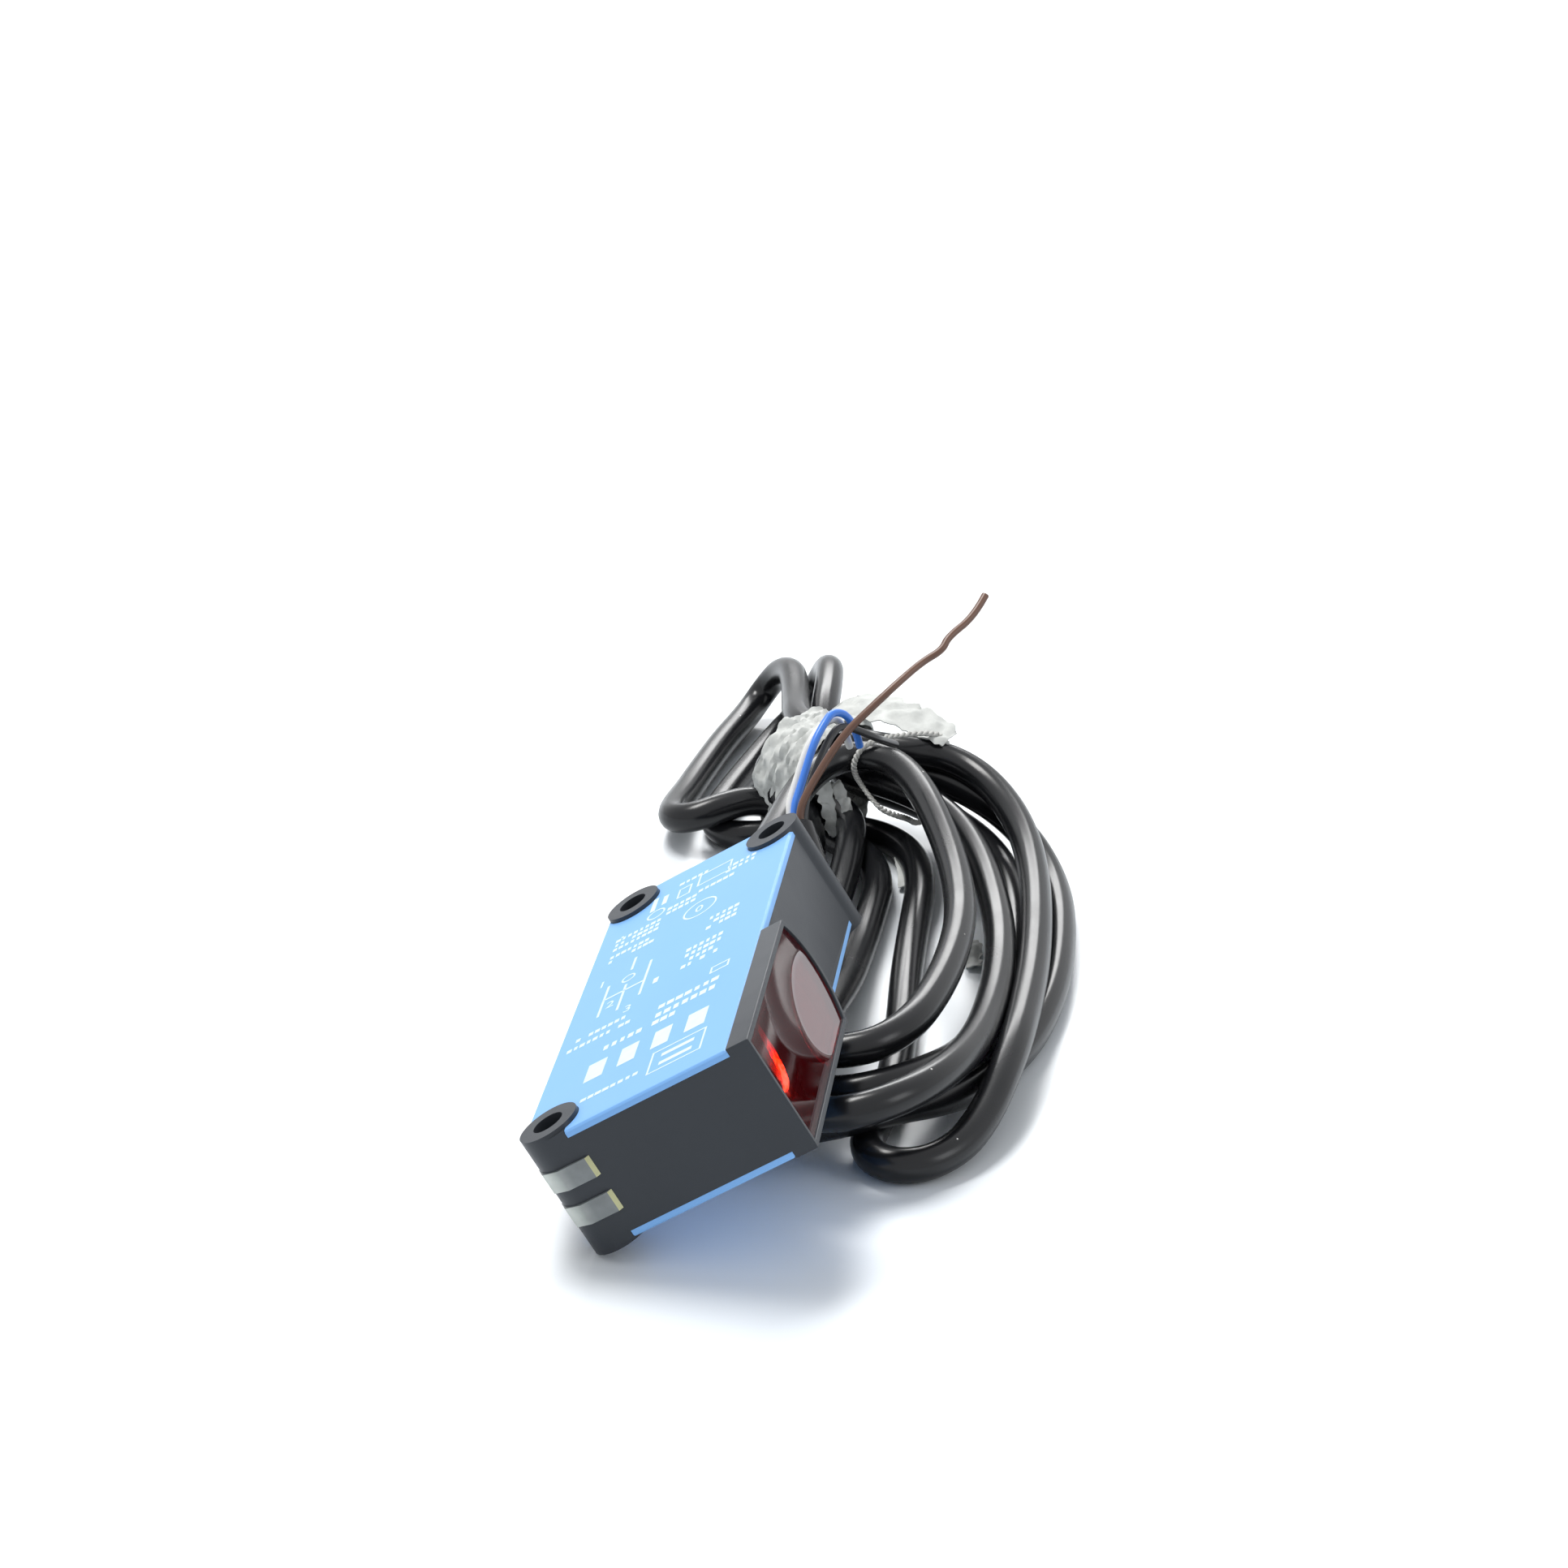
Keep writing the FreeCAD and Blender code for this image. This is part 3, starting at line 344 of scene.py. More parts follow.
def shared(builder):
    if builder.__name__ not in GROUPS:
        GROUPS[builder.__name__] = builder()
    return GROUPS[builder.__name__]


def finish_base(name):
    """A new material: its tree, its shader and its pattern coordinates."""
    material = bpy.data.materials.new(name)
    material.use_nodes = True
    nodes = Tree(material.node_tree)
    shader = material.node_tree.nodes["Principled BSDF"]
    place = nodes.add("ShaderNodeTexCoord")
    return material, nodes, shader, place.outputs["Object"]


def moulded(name, colour, roughness, drift=0.06, drift_scale=60.0, swing=0.06, grain=2500.0,
            depth=0.25, relief=0.00002, dust=0.0, dust_scale=900.0, dust_colour=(0.7, 0.7, 0.68, 1),
            **constants):
    """A plastic, rubber or metal finish: drifting tone, handled sheen, moulded grain and dust."""
    if name in FINISHES:
        return FINISHES[name]
    material, nodes, shader, place = finish_base(name)
    surface = nodes.place_group(tone_drift, place, Colour=colour, Amount=drift, Scale=drift_scale)
    if dust:
        specks = nodes.place_group(settled_dust, place, Amount=dust, Scale=dust_scale)
        surface = nodes.add("ShaderNodeMix", {0: specks, 6: surface, 7: dust_colour},
                            data_type="RGBA").outputs[2]
    nodes.feed(shader.inputs, {
        "Base Color": surface,
        "Roughness": nodes.place_group(handled_sheen, place, Roughness=roughness, Swing=swing),
        "Normal": nodes.bump(nodes.place_group(moulded_grain, place, Scale=grain), depth, relief)})
    nodes.feed(shader.inputs, {key.replace("_", " "): constants[key] for key in constants})
    FINISHES[name] = material
    return material


# --- meshes -------------------------------------------------------------------------------

def added(name, data):
    """A new object in the scene."""
    made = bpy.data.objects.new(name, data)
    bpy.context.scene.collection.objects.link(made)
    return made


def evaluated_mesh(holder):
    """The plain mesh that an object comes to with its modifiers; the object goes."""
    mesh = bpy.data.meshes.new_from_object(
        holder.evaluated_get(bpy.context.evaluated_depsgraph_get()))
    bpy.data.objects.remove(holder)
    return mesh


def new_piece(name, mesh, material):
    """A piece made from a mesh that already holds its place."""
    piece = added(name, mesh)
    mesh.materials.clear()
    mesh.materials.append(material)
    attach(piece, "root")
    return piece


def smooth(mesh, angle=35.0):
    """Smooth shading, kept crisp at edges sharper than the angle."""
    mesh.polygons.foreach_set("use_smooth", [True] * len(mesh.polygons))
    mesh.set_sharp_from_angle(angle=math.radians(angle))


def mesh_from(name, build):
    """A mesh filled by a bmesh function, with its faces turned outwards."""
    mesh = bpy.data.meshes.new(name)
    work = bmesh.new()
    build(work)
    bmesh.ops.remove_doubles(work, verts=work.verts, dist=1e-6)
    bmesh.ops.recalc_face_normals(work, faces=work.faces)
    work.to_mesh(mesh)
    work.free()
    return mesh


def rounded(mesh, crisp, **bevel_settings):
    """The mesh with its limited edges rounded, and shaded smooth up to the crisp angle."""
    rough = added("rough", mesh)
    bevel = rough.modifiers.new("Rounded Edges", "BEVEL")
    for key, value in bevel_settings.items():
        setattr(bevel, key, value)
    shaped = evaluated_mesh(rough)
    smooth(shaped, crisp)
    return shaped


def skin(work, rows, rows_close=False, row_closes=False):
    """Faces between rows of corners, round again where they close."""
    wide = len(rows[0])
    for i in range(len(rows) - (not rows_close)):
        first, second = rows[i], rows[(i + 1) % len(rows)]
        for k in range(wide - (not row_closes)):
            after = (k + 1) % wide
            work.faces.new((first[k], second[k], second[after], first[after]))


def depth_of(place):
    """How deep a place lies in the sensor, in millimetres from its rear edge."""
    return (SENSOR.inverted() @ place).x / MM


# in degrees: a CAD edge bent by more is rounded, and a rounded shape's edge bent by more is crisp
ROUNDED_ANGLE, CRISP_ANGLE = 40.0, 20.0
# in millimetres: how near the seam's depth a corner counts as on it
SEAM_SLACK = 0.03


def softened_copy(node, name, width, material, seam=None):
    """A CAD node's shape, sharp edges rounded but for those on a seam at one depth."""
    work = bmesh.new()
    work.from_mesh(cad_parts[node].data)
    bmesh.ops.remove_doubles(work, verts=work.verts, dist=2e-6)
    bmesh.ops.dissolve_limit(work, angle_limit=math.radians(1.0), verts=work.verts,
                             edges=work.edges)
    weight = work.edges.layers.float.new("bevel_weight_edge")
    for edge in work.edges:
        mating = seam is not None and all(abs(depth_of(corner.co) - seam) < SEAM_SLACK
                                          for corner in edge.verts)
        if edge.calc_face_angle(0.0) > math.radians(ROUNDED_ANGLE) and not mating:
            edge[weight] = 1.0
    mesh = bpy.data.meshes.new(name)
    work.to_mesh(mesh)
    work.free()
    shaped = rounded(mesh, CRISP_ANGLE, width=width, segments=2, limit_method="WEIGHT")
    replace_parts(new_piece(name, shaped, material), node)


def repaint(node, material):
    """Gives a CAD node that keeps its shape a better material."""
    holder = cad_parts[node]
    if not holder.material_slots:
        holder.data.materials.append(material)
    for place in holder.material_slots:
        place.material = material


def smooth_spline(name, places, resolution):
    """A curve with one smooth spline, pulled towards places given in millimetres."""
    curve = bpy.data.curves.new(name, "CURVE")
    curve.dimensions = "3D"
    spline = curve.splines.new("NURBS")
    spline.points.add(len(places) - 1)
    for point, place in zip(spline.points, places):
        point.co = (*(Vector(place) * MM), 1.0)
    spline.order_u = 3
    spline.resolution_u = curve.resolution_u = resolution
    return curve, spline


def cord_curve(name, places, radius, material, resolution, roundness):
    """A round cord on one smooth open spline."""
    curve, spline = smooth_spline(name, places, resolution)
    spline.use_endpoint_u = True
    curve.bevel_depth = radius
    curve.bevel_resolution = roundness
    curve.use_fill_caps = True
    curve.materials.append(material)
    cord = added(name, curve)
    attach(cord, "root")
    return cord


# --- the stage ----------------------------------------------------------------------------

class SENSOR_OT_stage(bpy.types.Operator):
    """Adds the pale floor, the even light, the softboxes and the camera"""
    bl_idname = "light_sensor.stage"
    bl_label = "Stage"

    CAMERA_PLACE = (0.06014, -0.42529, 0.22316)
    CAMERA_RIGHT = (0.9931, 0.1169, 0.0)
    CAMERA_AHEAD = (-0.1083, 0.9206, -0.3752)
    FLOOR_HALF = 6.0
    FLOOR_LEVEL = -0.0001
    # name, place, aim, width and depth, share of the softbox power, colour
    SOFTBOXES = [
        ("softbox_above", (-0.25, 0.25, 0.85), (0.01, 0.04, 0.0), (0.42, 0.24), 1.0,
         (1.0, 0.99, 0.97)),
        ("softbox_behind", (-0.12, 1.05, 0.50), (0.0, 0.10, 0.0), (0.55, 0.22), 0.5,
         (1.0, 1.0, 1.0)),
        ("softbox_right", (0.75, -0.15, 0.45), (0.02, 0.05, 0.01), (0.35, 0.35), 0.16,
         (0.96, 0.98, 1.0)),
    ]

    def execute(self, context):
        scene = context.scene
        look = scene.sensor_stage
        scene.view_settings.view_transform = "Standard"

        camera = bpy.data.cameras.new("camera")
        camera.sensor_width = 36.0
        camera.lens = look.lens
        camera.clip_start = 0.01
        holder = added("camera", camera)
        ahead = Vector(self.CAMERA_AHEAD).normalized()
        above = Vector(self.CAMERA_RIGHT).normalized().cross(ahead).normalized()
        right = ahead.cross(above)
        turn = Matrix((right, above, -ahead)).transposed().to_4x4()
        holder.matrix_world = Matrix.Translation(self.CAMERA_PLACE) @ turn
        scene.camera = holder

        floor = added("floor", mesh_from("floor", self.floor_shape))
        floor.data.materials.append(self.floor_finish(look.floor))
        self.even_light(scene, look.ambient)
        for name, place, aim, size, share, tint in self.SOFTBOXES:
            self.softbox(name, Vector(place), Vector(aim), size, look.softbox * share, tint)
        return {"FINISHED"}

    def floor_shape(self, work):
        bmesh.ops.create_grid(work, x_segments=8, y_segments=8, size=self.FLOOR_HALF)
        bmesh.ops.translate(work, verts=work.verts, vec=(0, 0, self.FLOOR_LEVEL))

    @staticmethod
    def floor_finish(colour):
        material, nodes, shader, place = finish_base("Pale Glossy Floor")
        smear = nodes.noise_at(place, 14.0, 2.0)
        wave = nodes.noise_at(place, 55.0, 1.0)
        nodes.feed(shader.inputs, {
            "Base Color": colour, "IOR": 1.38, "Normal": nodes.bump(wave, 0.06, 0.0002),
            "Roughness": nodes.ranged(smear, 0.0, 1.0, 0.24, 0.38)})
        return material

    @staticmethod
    def even_light(scene, ambient):
        """A white surround, seen at full level and lighting the piece at the ambient level."""
        world = bpy.data.worlds.new("even light")
        scene.world = world
        world.use_nodes = True
        nodes = Tree(world.node_tree)
        backdrop = world.node_tree.nodes["Background"]
        path = nodes.add("ShaderNodeLightPath")
        seen = nodes.math("MAXIMUM", path.outputs["Is Camera Ray"], path.outputs["Is Glossy Ray"])
        seen = nodes.math("MAXIMUM", seen, path.outputs["Is Transmission Ray"])
        nodes.feed(backdrop.inputs, {"Strength": nodes.ranged(seen, 0.0, 1.0, ambient, 1.0),
                                     "Color": (0.97, 0.985, 1.0, 1)})

    @staticmethod
    def softbox(name, place, aim, size, power, tint):
        lamp = bpy.data.lights.new(name, "AREA")
        lamp.shape = "RECTANGLE"
        lamp.size, lamp.size_y = size
        lamp.energy, lamp.color = power, tint
        turn = (aim - place).to_track_quat("-Z", "Y").to_matrix().to_4x4()
        added(name, lamp).matrix_world = Matrix.Translation(place) @ turn


# --- the cable ----------------------------------------------------------------------------

class SENSOR_OT_cable(bpy.types.Operator):
    """Lays the cable from the sensor through its hank to the stripped end"""
    bl_idname = "light_sensor.cable"
    bl_label = "Cable"

    def execute(self, context):
        look = context.scene.sensor_cable
        jacket = moulded("Jacket PVC", look.jacket, look.gloss, drift=0.25, drift_scale=180.0,
                         swing=0.07, grain=1400.0, depth=0.10, dust=0.008, dust_scale=800.0,
                         IOR=1.40)
        cable = cord_curve("cable", CABLE_ROUTE, look.diameter / 2, jacket,
                           resolution=6, roundness=6)
        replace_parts(cable, "cable_lead", "cable_hank", "cable_free_end")
        colours = {"brown": (0.125, 0.058, 0.036, 1), "blue": (0.045, 0.20, 0.72, 1),
                   "white": (0.72, 0.72, 0.70, 1), "black": (0.018, 0.018, 0.02, 1)}
        for colour, (length, route) in CORE_ROUTES.items():
            finish = moulded(f"Core {colour}", colours[colour], 0.34, drift=0.10,
                             drift_scale=400.0, grain=3000.0, depth=0.15)
            core = cord_curve(f"{colour}_core", route, look.core / 2, finish,
                              resolution=8, roundness=4)
            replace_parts(core, f"{colour}_conductor")
        return {"FINISHED"}


# --- the housing and its covers -----------------------------------------------------------

class SENSOR_OT_housing(bpy.types.Operator):
    """Gives the moulded housing and its lens block frame their rounded edges, and the seal its
    rubber finish
    """
    bl_idname = "light_sensor.housing"
    bl_label = "Housing"

    def execute(self, context):
        look = context.scene.sensor_finish
        plain = moulded("Charcoal Housing", look.housing, 0.40, drift=0.10, drift_scale=70.0,
                        swing=0.08, grain=3200.0, depth=0.5, dust=0.008, dust_scale=650.0,
                        IOR=1.36)
        seam = min(depth_of(v.co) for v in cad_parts["window_frame"].data.vertices)
        softened_copy("housing_frame", "housing", 0.14 * MM, plain, seam)
        softened_copy("window_frame", "lens_block_frame", 0.12 * MM, plain, seam)
        rubber = moulded("Seal Rubber", (0.012, 0.012, 0.013, 1), 0.75, grain=2200.0, depth=0.4)
        repaint("window_seal", rubber)
        return {"FINISHED"}


class SENSOR_OT_covers(bpy.types.Operator):
    """Gives both covers their satin blue and rounded rims"""
    bl_idname = "light_sensor.covers"
    bl_label = "Covers"

    def execute(self, context):
        look = context.scene.sensor_finish
        satin = moulded("Sky Blue Cover", look.cover, 0.44, drift=0.035, drift_scale=45.0,
                        swing=0.05, grain=2800.0, depth=0.30, dust=0.006, dust_scale=600.0,
                        dust_colour=(0.85, 0.9, 0.95, 1), IOR=1.38)
        for side in ("label", "rear"):
            softened_copy(f"{side}_cover", f"{side}_side_cover", 0.10 * MM, satin)
        return {"FINISHED"}


def printed_rows_tree():
    """Geometry nodes: rows of short printed bars with gaps, like set lines too small to read."""
    nodes, give, out = group(
        "Printed Rows", [("Columns", WHOLE, 10), ("Rows", WHOLE, 2),
                         ("Column Pitch", FLOAT, 0.001), ("Row Pitch", FLOAT, 0.001),
                         ("Bar Height", FLOAT, 0.0005), ("Ink", FLOAT, 0.00004),
                         ("Kept Share", FLOAT, 0.8), ("Seed", WHOLE, 0),
                         ("Finish", "NodeSocketMaterial", None)],
        [("Geometry", "NodeSocketGeometry")], "GeometryNodeTree")
    wide = nodes.times(nodes.math("SUBTRACT", give["Columns"], 1.0), give["Column Pitch"])
    tall = nodes.times(nodes.math("SUBTRACT", give["Rows"], 1.0), give["Row Pitch"])
    grid = nodes.add("GeometryNodeMeshGrid", {"Size X": wide, "Size Y": tall,
                                              "Vertices X": give["Columns"],
                                              "Vertices Y": give["Rows"]})
    keep = nodes.add("FunctionNodeRandomValue", {"Probability": give["Kept Share"],
                                                 "Seed": give["Seed"]}, data_type="BOOLEAN")
    size = nodes.add("ShaderNodeCombineXYZ", {"X": give["Column Pitch"], "Y": give["Bar Height"],
                                              "Z": give["Ink"]})
    bar = nodes.add("GeometryNodeMeshCube", {"Size": size.outputs[0]})
    long = nodes.add("FunctionNodeRandomValue", {2: 0.45, 3: 0.86, "Seed": give["Seed"]},
                     data_type="FLOAT")
    stretch = nodes.add("ShaderNodeCombineXYZ", {"X": long.outputs[1], "Y": 1.0, "Z": 1.0})
    spread = nodes.add("GeometryNodeInstanceOnPoints", {
        "Points": grid.outputs["Mesh"], "Selection": keep.outputs[3],
        "Instance": bar.outputs["Mesh"], "Scale": stretch.outputs[0]})
    real = nodes.add("GeometryNodeRealizeInstances", {"Geometry": spread.outputs[0]})
    inked = nodes.add("GeometryNodeSetMaterial", {"Geometry": real.outputs[0],
                                                  "Material": give["Finish"]})
    nodes.feed(out, {"Geometry": inked.outputs[0]})
    return nodes.tree


def grown(tree, name, values):
    """The plain mesh that a geometry node tree makes for these named inputs."""
    seed = added(name, bpy.data.meshes.new(name))
    growth = seed.modifiers.new("Growth", "NODES")
    growth.node_group = tree
    for item in tree.interface.items_tree:
        if item.item_type == "SOCKET" and item.in_out == "INPUT" and item.name in values:
            growth[item.identifier] = values[item.name]
    return evaluated_mesh(seed)


def joined(name, parts):
    """One mesh of several."""
    work = bmesh.new()
    for part in parts:
        work.from_mesh(part)
        bpy.data.meshes.remove(part)
    mesh = bpy.data.meshes.new(name)
    work.to_mesh(mesh)
    work.free()
    return mesh


def slab(work, low, high, place):
    """A box between two corners, given in millimetres."""
    low, high = Vector(low) * MM, Vector(high) * MM
    made = bmesh.ops.create_cube(work, size=1.0)["verts"]
    bmesh.ops.scale(work, verts=made, vec=high - low)
    bmesh.ops.translate(work, verts=made, vec=(low + high) / 2)
    bmesh.ops.transform(work, verts=made, matrix=place)


class SENSOR_OT_label_print(bpy.types.Operator):
    """Prints plain bars, frames, rings and numerals on the cover, all of them generic"""
    bl_idname = "light_sensor.label_print"
    bl_label = "Label Print"

    # centre depth, centre length, columns, rows, column pitch, row pitch, bar height, kept share
    ROWS = [(12.2, 7.2, 8, 1, 1.1, 1.0, 0.85, 0.9), (14.0, 21.4, 9, 1, 1.25, 1.0, 1.25, 0.9),
            (20.6, 23.6, 9, 1, 1.35, 1.0, 1.3, 0.95), (20.0, 26.1, 8, 1, 1.35, 1.0, 1.15, 0.9),
            (6.8, 26.6, 10, 1, 1.0, 1.0, 0.95, 0.9), (7.2, 29.0, 9, 1, 1.0, 1.0, 0.95, 0.85),
            (20.6, 39.2, 6, 4, 1.0, 1.8, 1.05, 0.9), (22.4, 48.2, 5, 3, 1.0, 1.6, 0.95, 0.9),
            (6.9, 53.6, 8, 2, 0.95, 1.5, 0.9, 0.9), (6.9, 58.4, 8, 3, 0.95, 1.5, 0.9, 0.9),
            (13.6, 61.6, 5, 2, 1.0, 1.5, 0.9, 0.9), (19.0, 63.2, 6, 1, 1.0, 1.0, 0.9, 0.9),
            (14.3, 70.0, 5, 1, 1.0, 1.0, 0.85, 0.9), (22.6, 66.2, 5, 2, 1.0, 1.5, 0.9, 0.9)]
    # low depth, low length, high depth, high length
    FRAMES = [(18.0, 4.8, 26.0, 11.0), (23.4, 28.8, 26.3, 30.8), (15.4, 65.6, 20.8, 69.6),
              (12.2, 64.8, 14.4, 68.0)]
    BARS = [(7.2, 12.8, 10.0, 17.8), (12.2, 12.8, 14.8, 17.8), (17.2, 12.8, 19.8, 17.8),
            (22.2, 12.8, 25.2, 17.8), (19.6, 6.2, 24.4, 7.1), (19.6, 8.6, 24.4, 9.5),
            (5.0, 34.0, 5.4, 43.6), (8.2, 33.0, 8.6, 41.0), (11.4, 34.6, 11.8, 45.5),
            (5.0, 38.9, 11.4, 39.3), (8.2, 45.6, 8.6, 49.6), (13.4, 36.0, 14.2, 37.6),
            (7.8, 64.8, 8.6, 69.4), (9.6, 65.6, 10.4, 68.6)]
    RINGS = [(17.5, 56.2, 2.7), (9.2, 63.0, 1.5), (8.4, 43.0, 1.1)]
    NUMERALS = [("1", 3.0, 44.6), ("2", 6.0, 35.6), ("3", 9.6, 30.8), ("0", 16.7, 55.2)]
    NUMERAL_SIZE = 2.8
    LINE, INK, RING_STEPS = 0.28, 0.025, 40

    def execute(self, context):
        ink = moulded("White Print", (0.62, 0.76, 0.88, 1), 0.5, drift=0.12, drift_scale=900.0,
                      grain=4000.0, depth=0.3)
        lay = SENSOR @ Matrix.Translation((0, 0, COVER_FACE * MM))
        tree = printed_rows_tree()
        parts = []
        for seed, (depth, length, columns, rows, pitch, step, height, kept) in enumerate(self.ROWS):
            mesh = grown(tree, "rows", {
                "Columns": columns, "Rows": rows, "Column Pitch": pitch * MM,
                "Row Pitch": step * MM, "Bar Height": height * MM, "Ink": 2 * self.INK * MM,
                "Kept Share": kept, "Seed": seed, "Finish": ink})
            mesh.transform(lay @ Matrix.Translation((depth * MM, length * MM, 0)))
            parts.append(mesh)
        parts.append(mesh_from("marks", lambda work: self.marks(work, lay)))
        for digit, depth, length in self.NUMERALS:
            mesh = self.numeral(digit)
            mesh.transform(lay @ Matrix.Translation((depth * MM, length * MM, -0.02 * MM)))
            parts.append(mesh)
        new_piece("label_print", joined("label_print", parts), ink)
        return {"FINISHED"}

    def marks(self, work, lay):
        """The bars, frames and rings."""
        thin, ink = self.LINE, self.INK
        for x0, y0, x1, y1 in self.BARS:
            slab(work, (x0, y0, -ink), (x1, y1, ink), lay)
        for x0, y0, x1, y1 in self.FRAMES:
            for a, b, c, d in ((x0, y0, x1, y0 + thin), (x0, y1 - thin, x1, y1),
                               (x0, y0 + thin, x0 + thin, y1 - thin),
                               (x1 - thin, y0 + thin, x1, y1 - thin)):
                slab(work, (a, b, -ink), (c, d, ink), lay)
        for depth, length, radius in self.RINGS:
            section = [(radius, -ink), (radius, ink), (radius - thin, ink), (radius - thin, -ink)]
            rows = []
            for turn in [math.tau * i / self.RING_STEPS for i in range(self.RING_STEPS)]:
                rows.append([work.verts.new(lay @ (Vector((
                    depth + reach * math.cos(turn), length + reach * math.sin(turn), level)) * MM))
                             for reach, level in section])
            skin(work, rows, True, True)

    def numeral(self, digit):
        text = bpy.data.curves.new("numeral", "FONT")
        text.body = digit
        text.size = self.NUMERAL_SIZE * MM
        text.extrude = 0.04 * MM
        text.resolution_u = 4
        return evaluated_mesh(added("numeral", text))


# --- the window, the glow behind it and the light guides ----------------------------------

class SENSOR_OT_window(bpy.types.Operator):
    """Tints the front window and puts a painted glow of the sender behind it"""
    bl_idname = "light_sensor.window"
    bl_label = "Window"

    # places along the sensor's length and height, with half widths, in millimetres
    GLOW = [(8.7, 16.2, 0.3), (8.3, 14.7, 0.7), (8.0, 13.2, 1.0), (7.8, 11.6, 1.2),
            (7.3, 10.0, 1.2), (6.6, 8.8, 1.0), (5.6, 8.4, 0.7), (4.2, 8.4, 0.4)]
    GLOW_DEPTH = 30.95
    HOT_SPOT = (31.2, 6.5, 8.7)
    # the oval's centre in the sensor's millimetres, and its half lengths in metres by axis
    OVAL = (WINDOW_FACE, 31.0, 6.0)
    OVAL_HALVES = {(0, 1, 0): 0.0115, (0, 0, 1): 0.0066}
    LEAN = (0.070, -0.02, -0.245)
    RIPPLE = (0.04, 0.04, 0.04)

    def execute(self, context):
        look = context.scene.sensor_finish
        material, nodes, shader, place = finish_base("Deep Red Window")
        # A shading lean round one oval, so the flat pane mirrors what lies low beside it.
        from_oval = nodes.vector("SUBTRACT", {0: place, 1: spot(*self.OVAL)})
        reach = []
        for axis, half in self.OVAL_HALVES.items():
            way = SENSOR.to_3x3() @ Vector(axis) / half
            share = nodes.vector("DOT_PRODUCT", {0: from_oval, 1: way}, "Value")
            reach.append(nodes.times(share, share))
        outside = nodes.ranged(nodes.plus(*reach), 0.75, 1.15)
        facing = nodes.add("ShaderNodeNewGeometry")
        side = nodes.math("SUBTRACT", 1.0, nodes.times(facing.outputs["Backfacing"], 2.0))
        side = nodes.times(side, outside)
        ripple = nodes.noise_at(place, 45.0, 0.0, output="Color")
        lean = nodes.vector("MULTIPLY_ADD", {0: ripple, 1: self.RIPPLE, 2: self.LEAN})
        turned = nodes.vector("SCALE", {0: lean, "Scale": side})
        both = nodes.vector("ADD", {0: facing.outputs["Normal"], 1: turned})
        nodes.feed(shader.inputs, {
            "Base Color": nodes.place_group(tone_drift, place, Colour=look.window, Amount=0.05),
            "Roughness": nodes.place_group(handled_sheen, place, Roughness=0.01, Swing=0.004),
            "Normal": nodes.vector("NORMALIZE", {0: both}),
            "Transmission Weight": 0.85, "IOR": 1.62})
        repaint("front_window", material)

        glow = new_piece("sender_glow", mesh_from("sender_glow", self.glow_shape),
                         self.glow_finish(look.glow))
        smooth(glow.data)
        return {"FINISHED"}

    def glow_shape(self, work):
        """A slim crescent of painted glow on the sender's rim, just behind the window."""
        rings = []
        for index, (length, height, half) in enumerate(self.GLOW):
            before = self.GLOW[max(0, index - 1)]
            after = self.GLOW[min(len(self.GLOW) - 1, index + 1)]
            run = Vector((0, after[0] - before[0], after[1] - before[1])).normalized()
            side = Vector((1, 0, 0)).cross(run)
            middle = Vector((self.GLOW_DEPTH, length, height))
            rings.append([work.verts.new(spot(*(middle + side * half * math.cos(a)
                                                + Vector((0.25 * math.sin(a), 0, 0)))))
                          for a in [math.tau * k / 12 for k in range(12)]])
        skin(work, rings, row_closes=True)
        work.faces.new(rings[0])
        work.faces.new(list(reversed(rings[-1])))

    def glow_finish(self, strength):
        material, nodes, shader, place = finish_base("Sender Glow")
        # painted glow: hottest at one spot and fading out from it, streaked by noise
        near = nodes.vector("DISTANCE", {0: place, 1: spot(*self.HOT_SPOT)}, "Value")
        fall = nodes.ranged(near, 0.0, 0.0075, 1.0, 0.0)
        streak = nodes.noise_at(place, 900.0, 3.0, 1.5)
        lively = nodes.times(fall, nodes.plus(nodes.times(streak, 1.5), 0.2))
        fire = nodes.ramp(lively, [(0.0, (0.005, 0.0, 0.0)), (0.30, (0.03, 0.001, 0.001)),
                                   (0.55, (0.22, 0.003, 0.001)), (0.74, (0.9, 0.45, 0.03)),
                                   (0.88, (1.0, 1.0, 0.40))])
        nodes.feed(shader.inputs, {"Emission Color": fire, "Emission Strength": strength,
                                   "Base Color": (0.10, 0.004, 0.004, 1), "Roughness": 0.3})
        return material


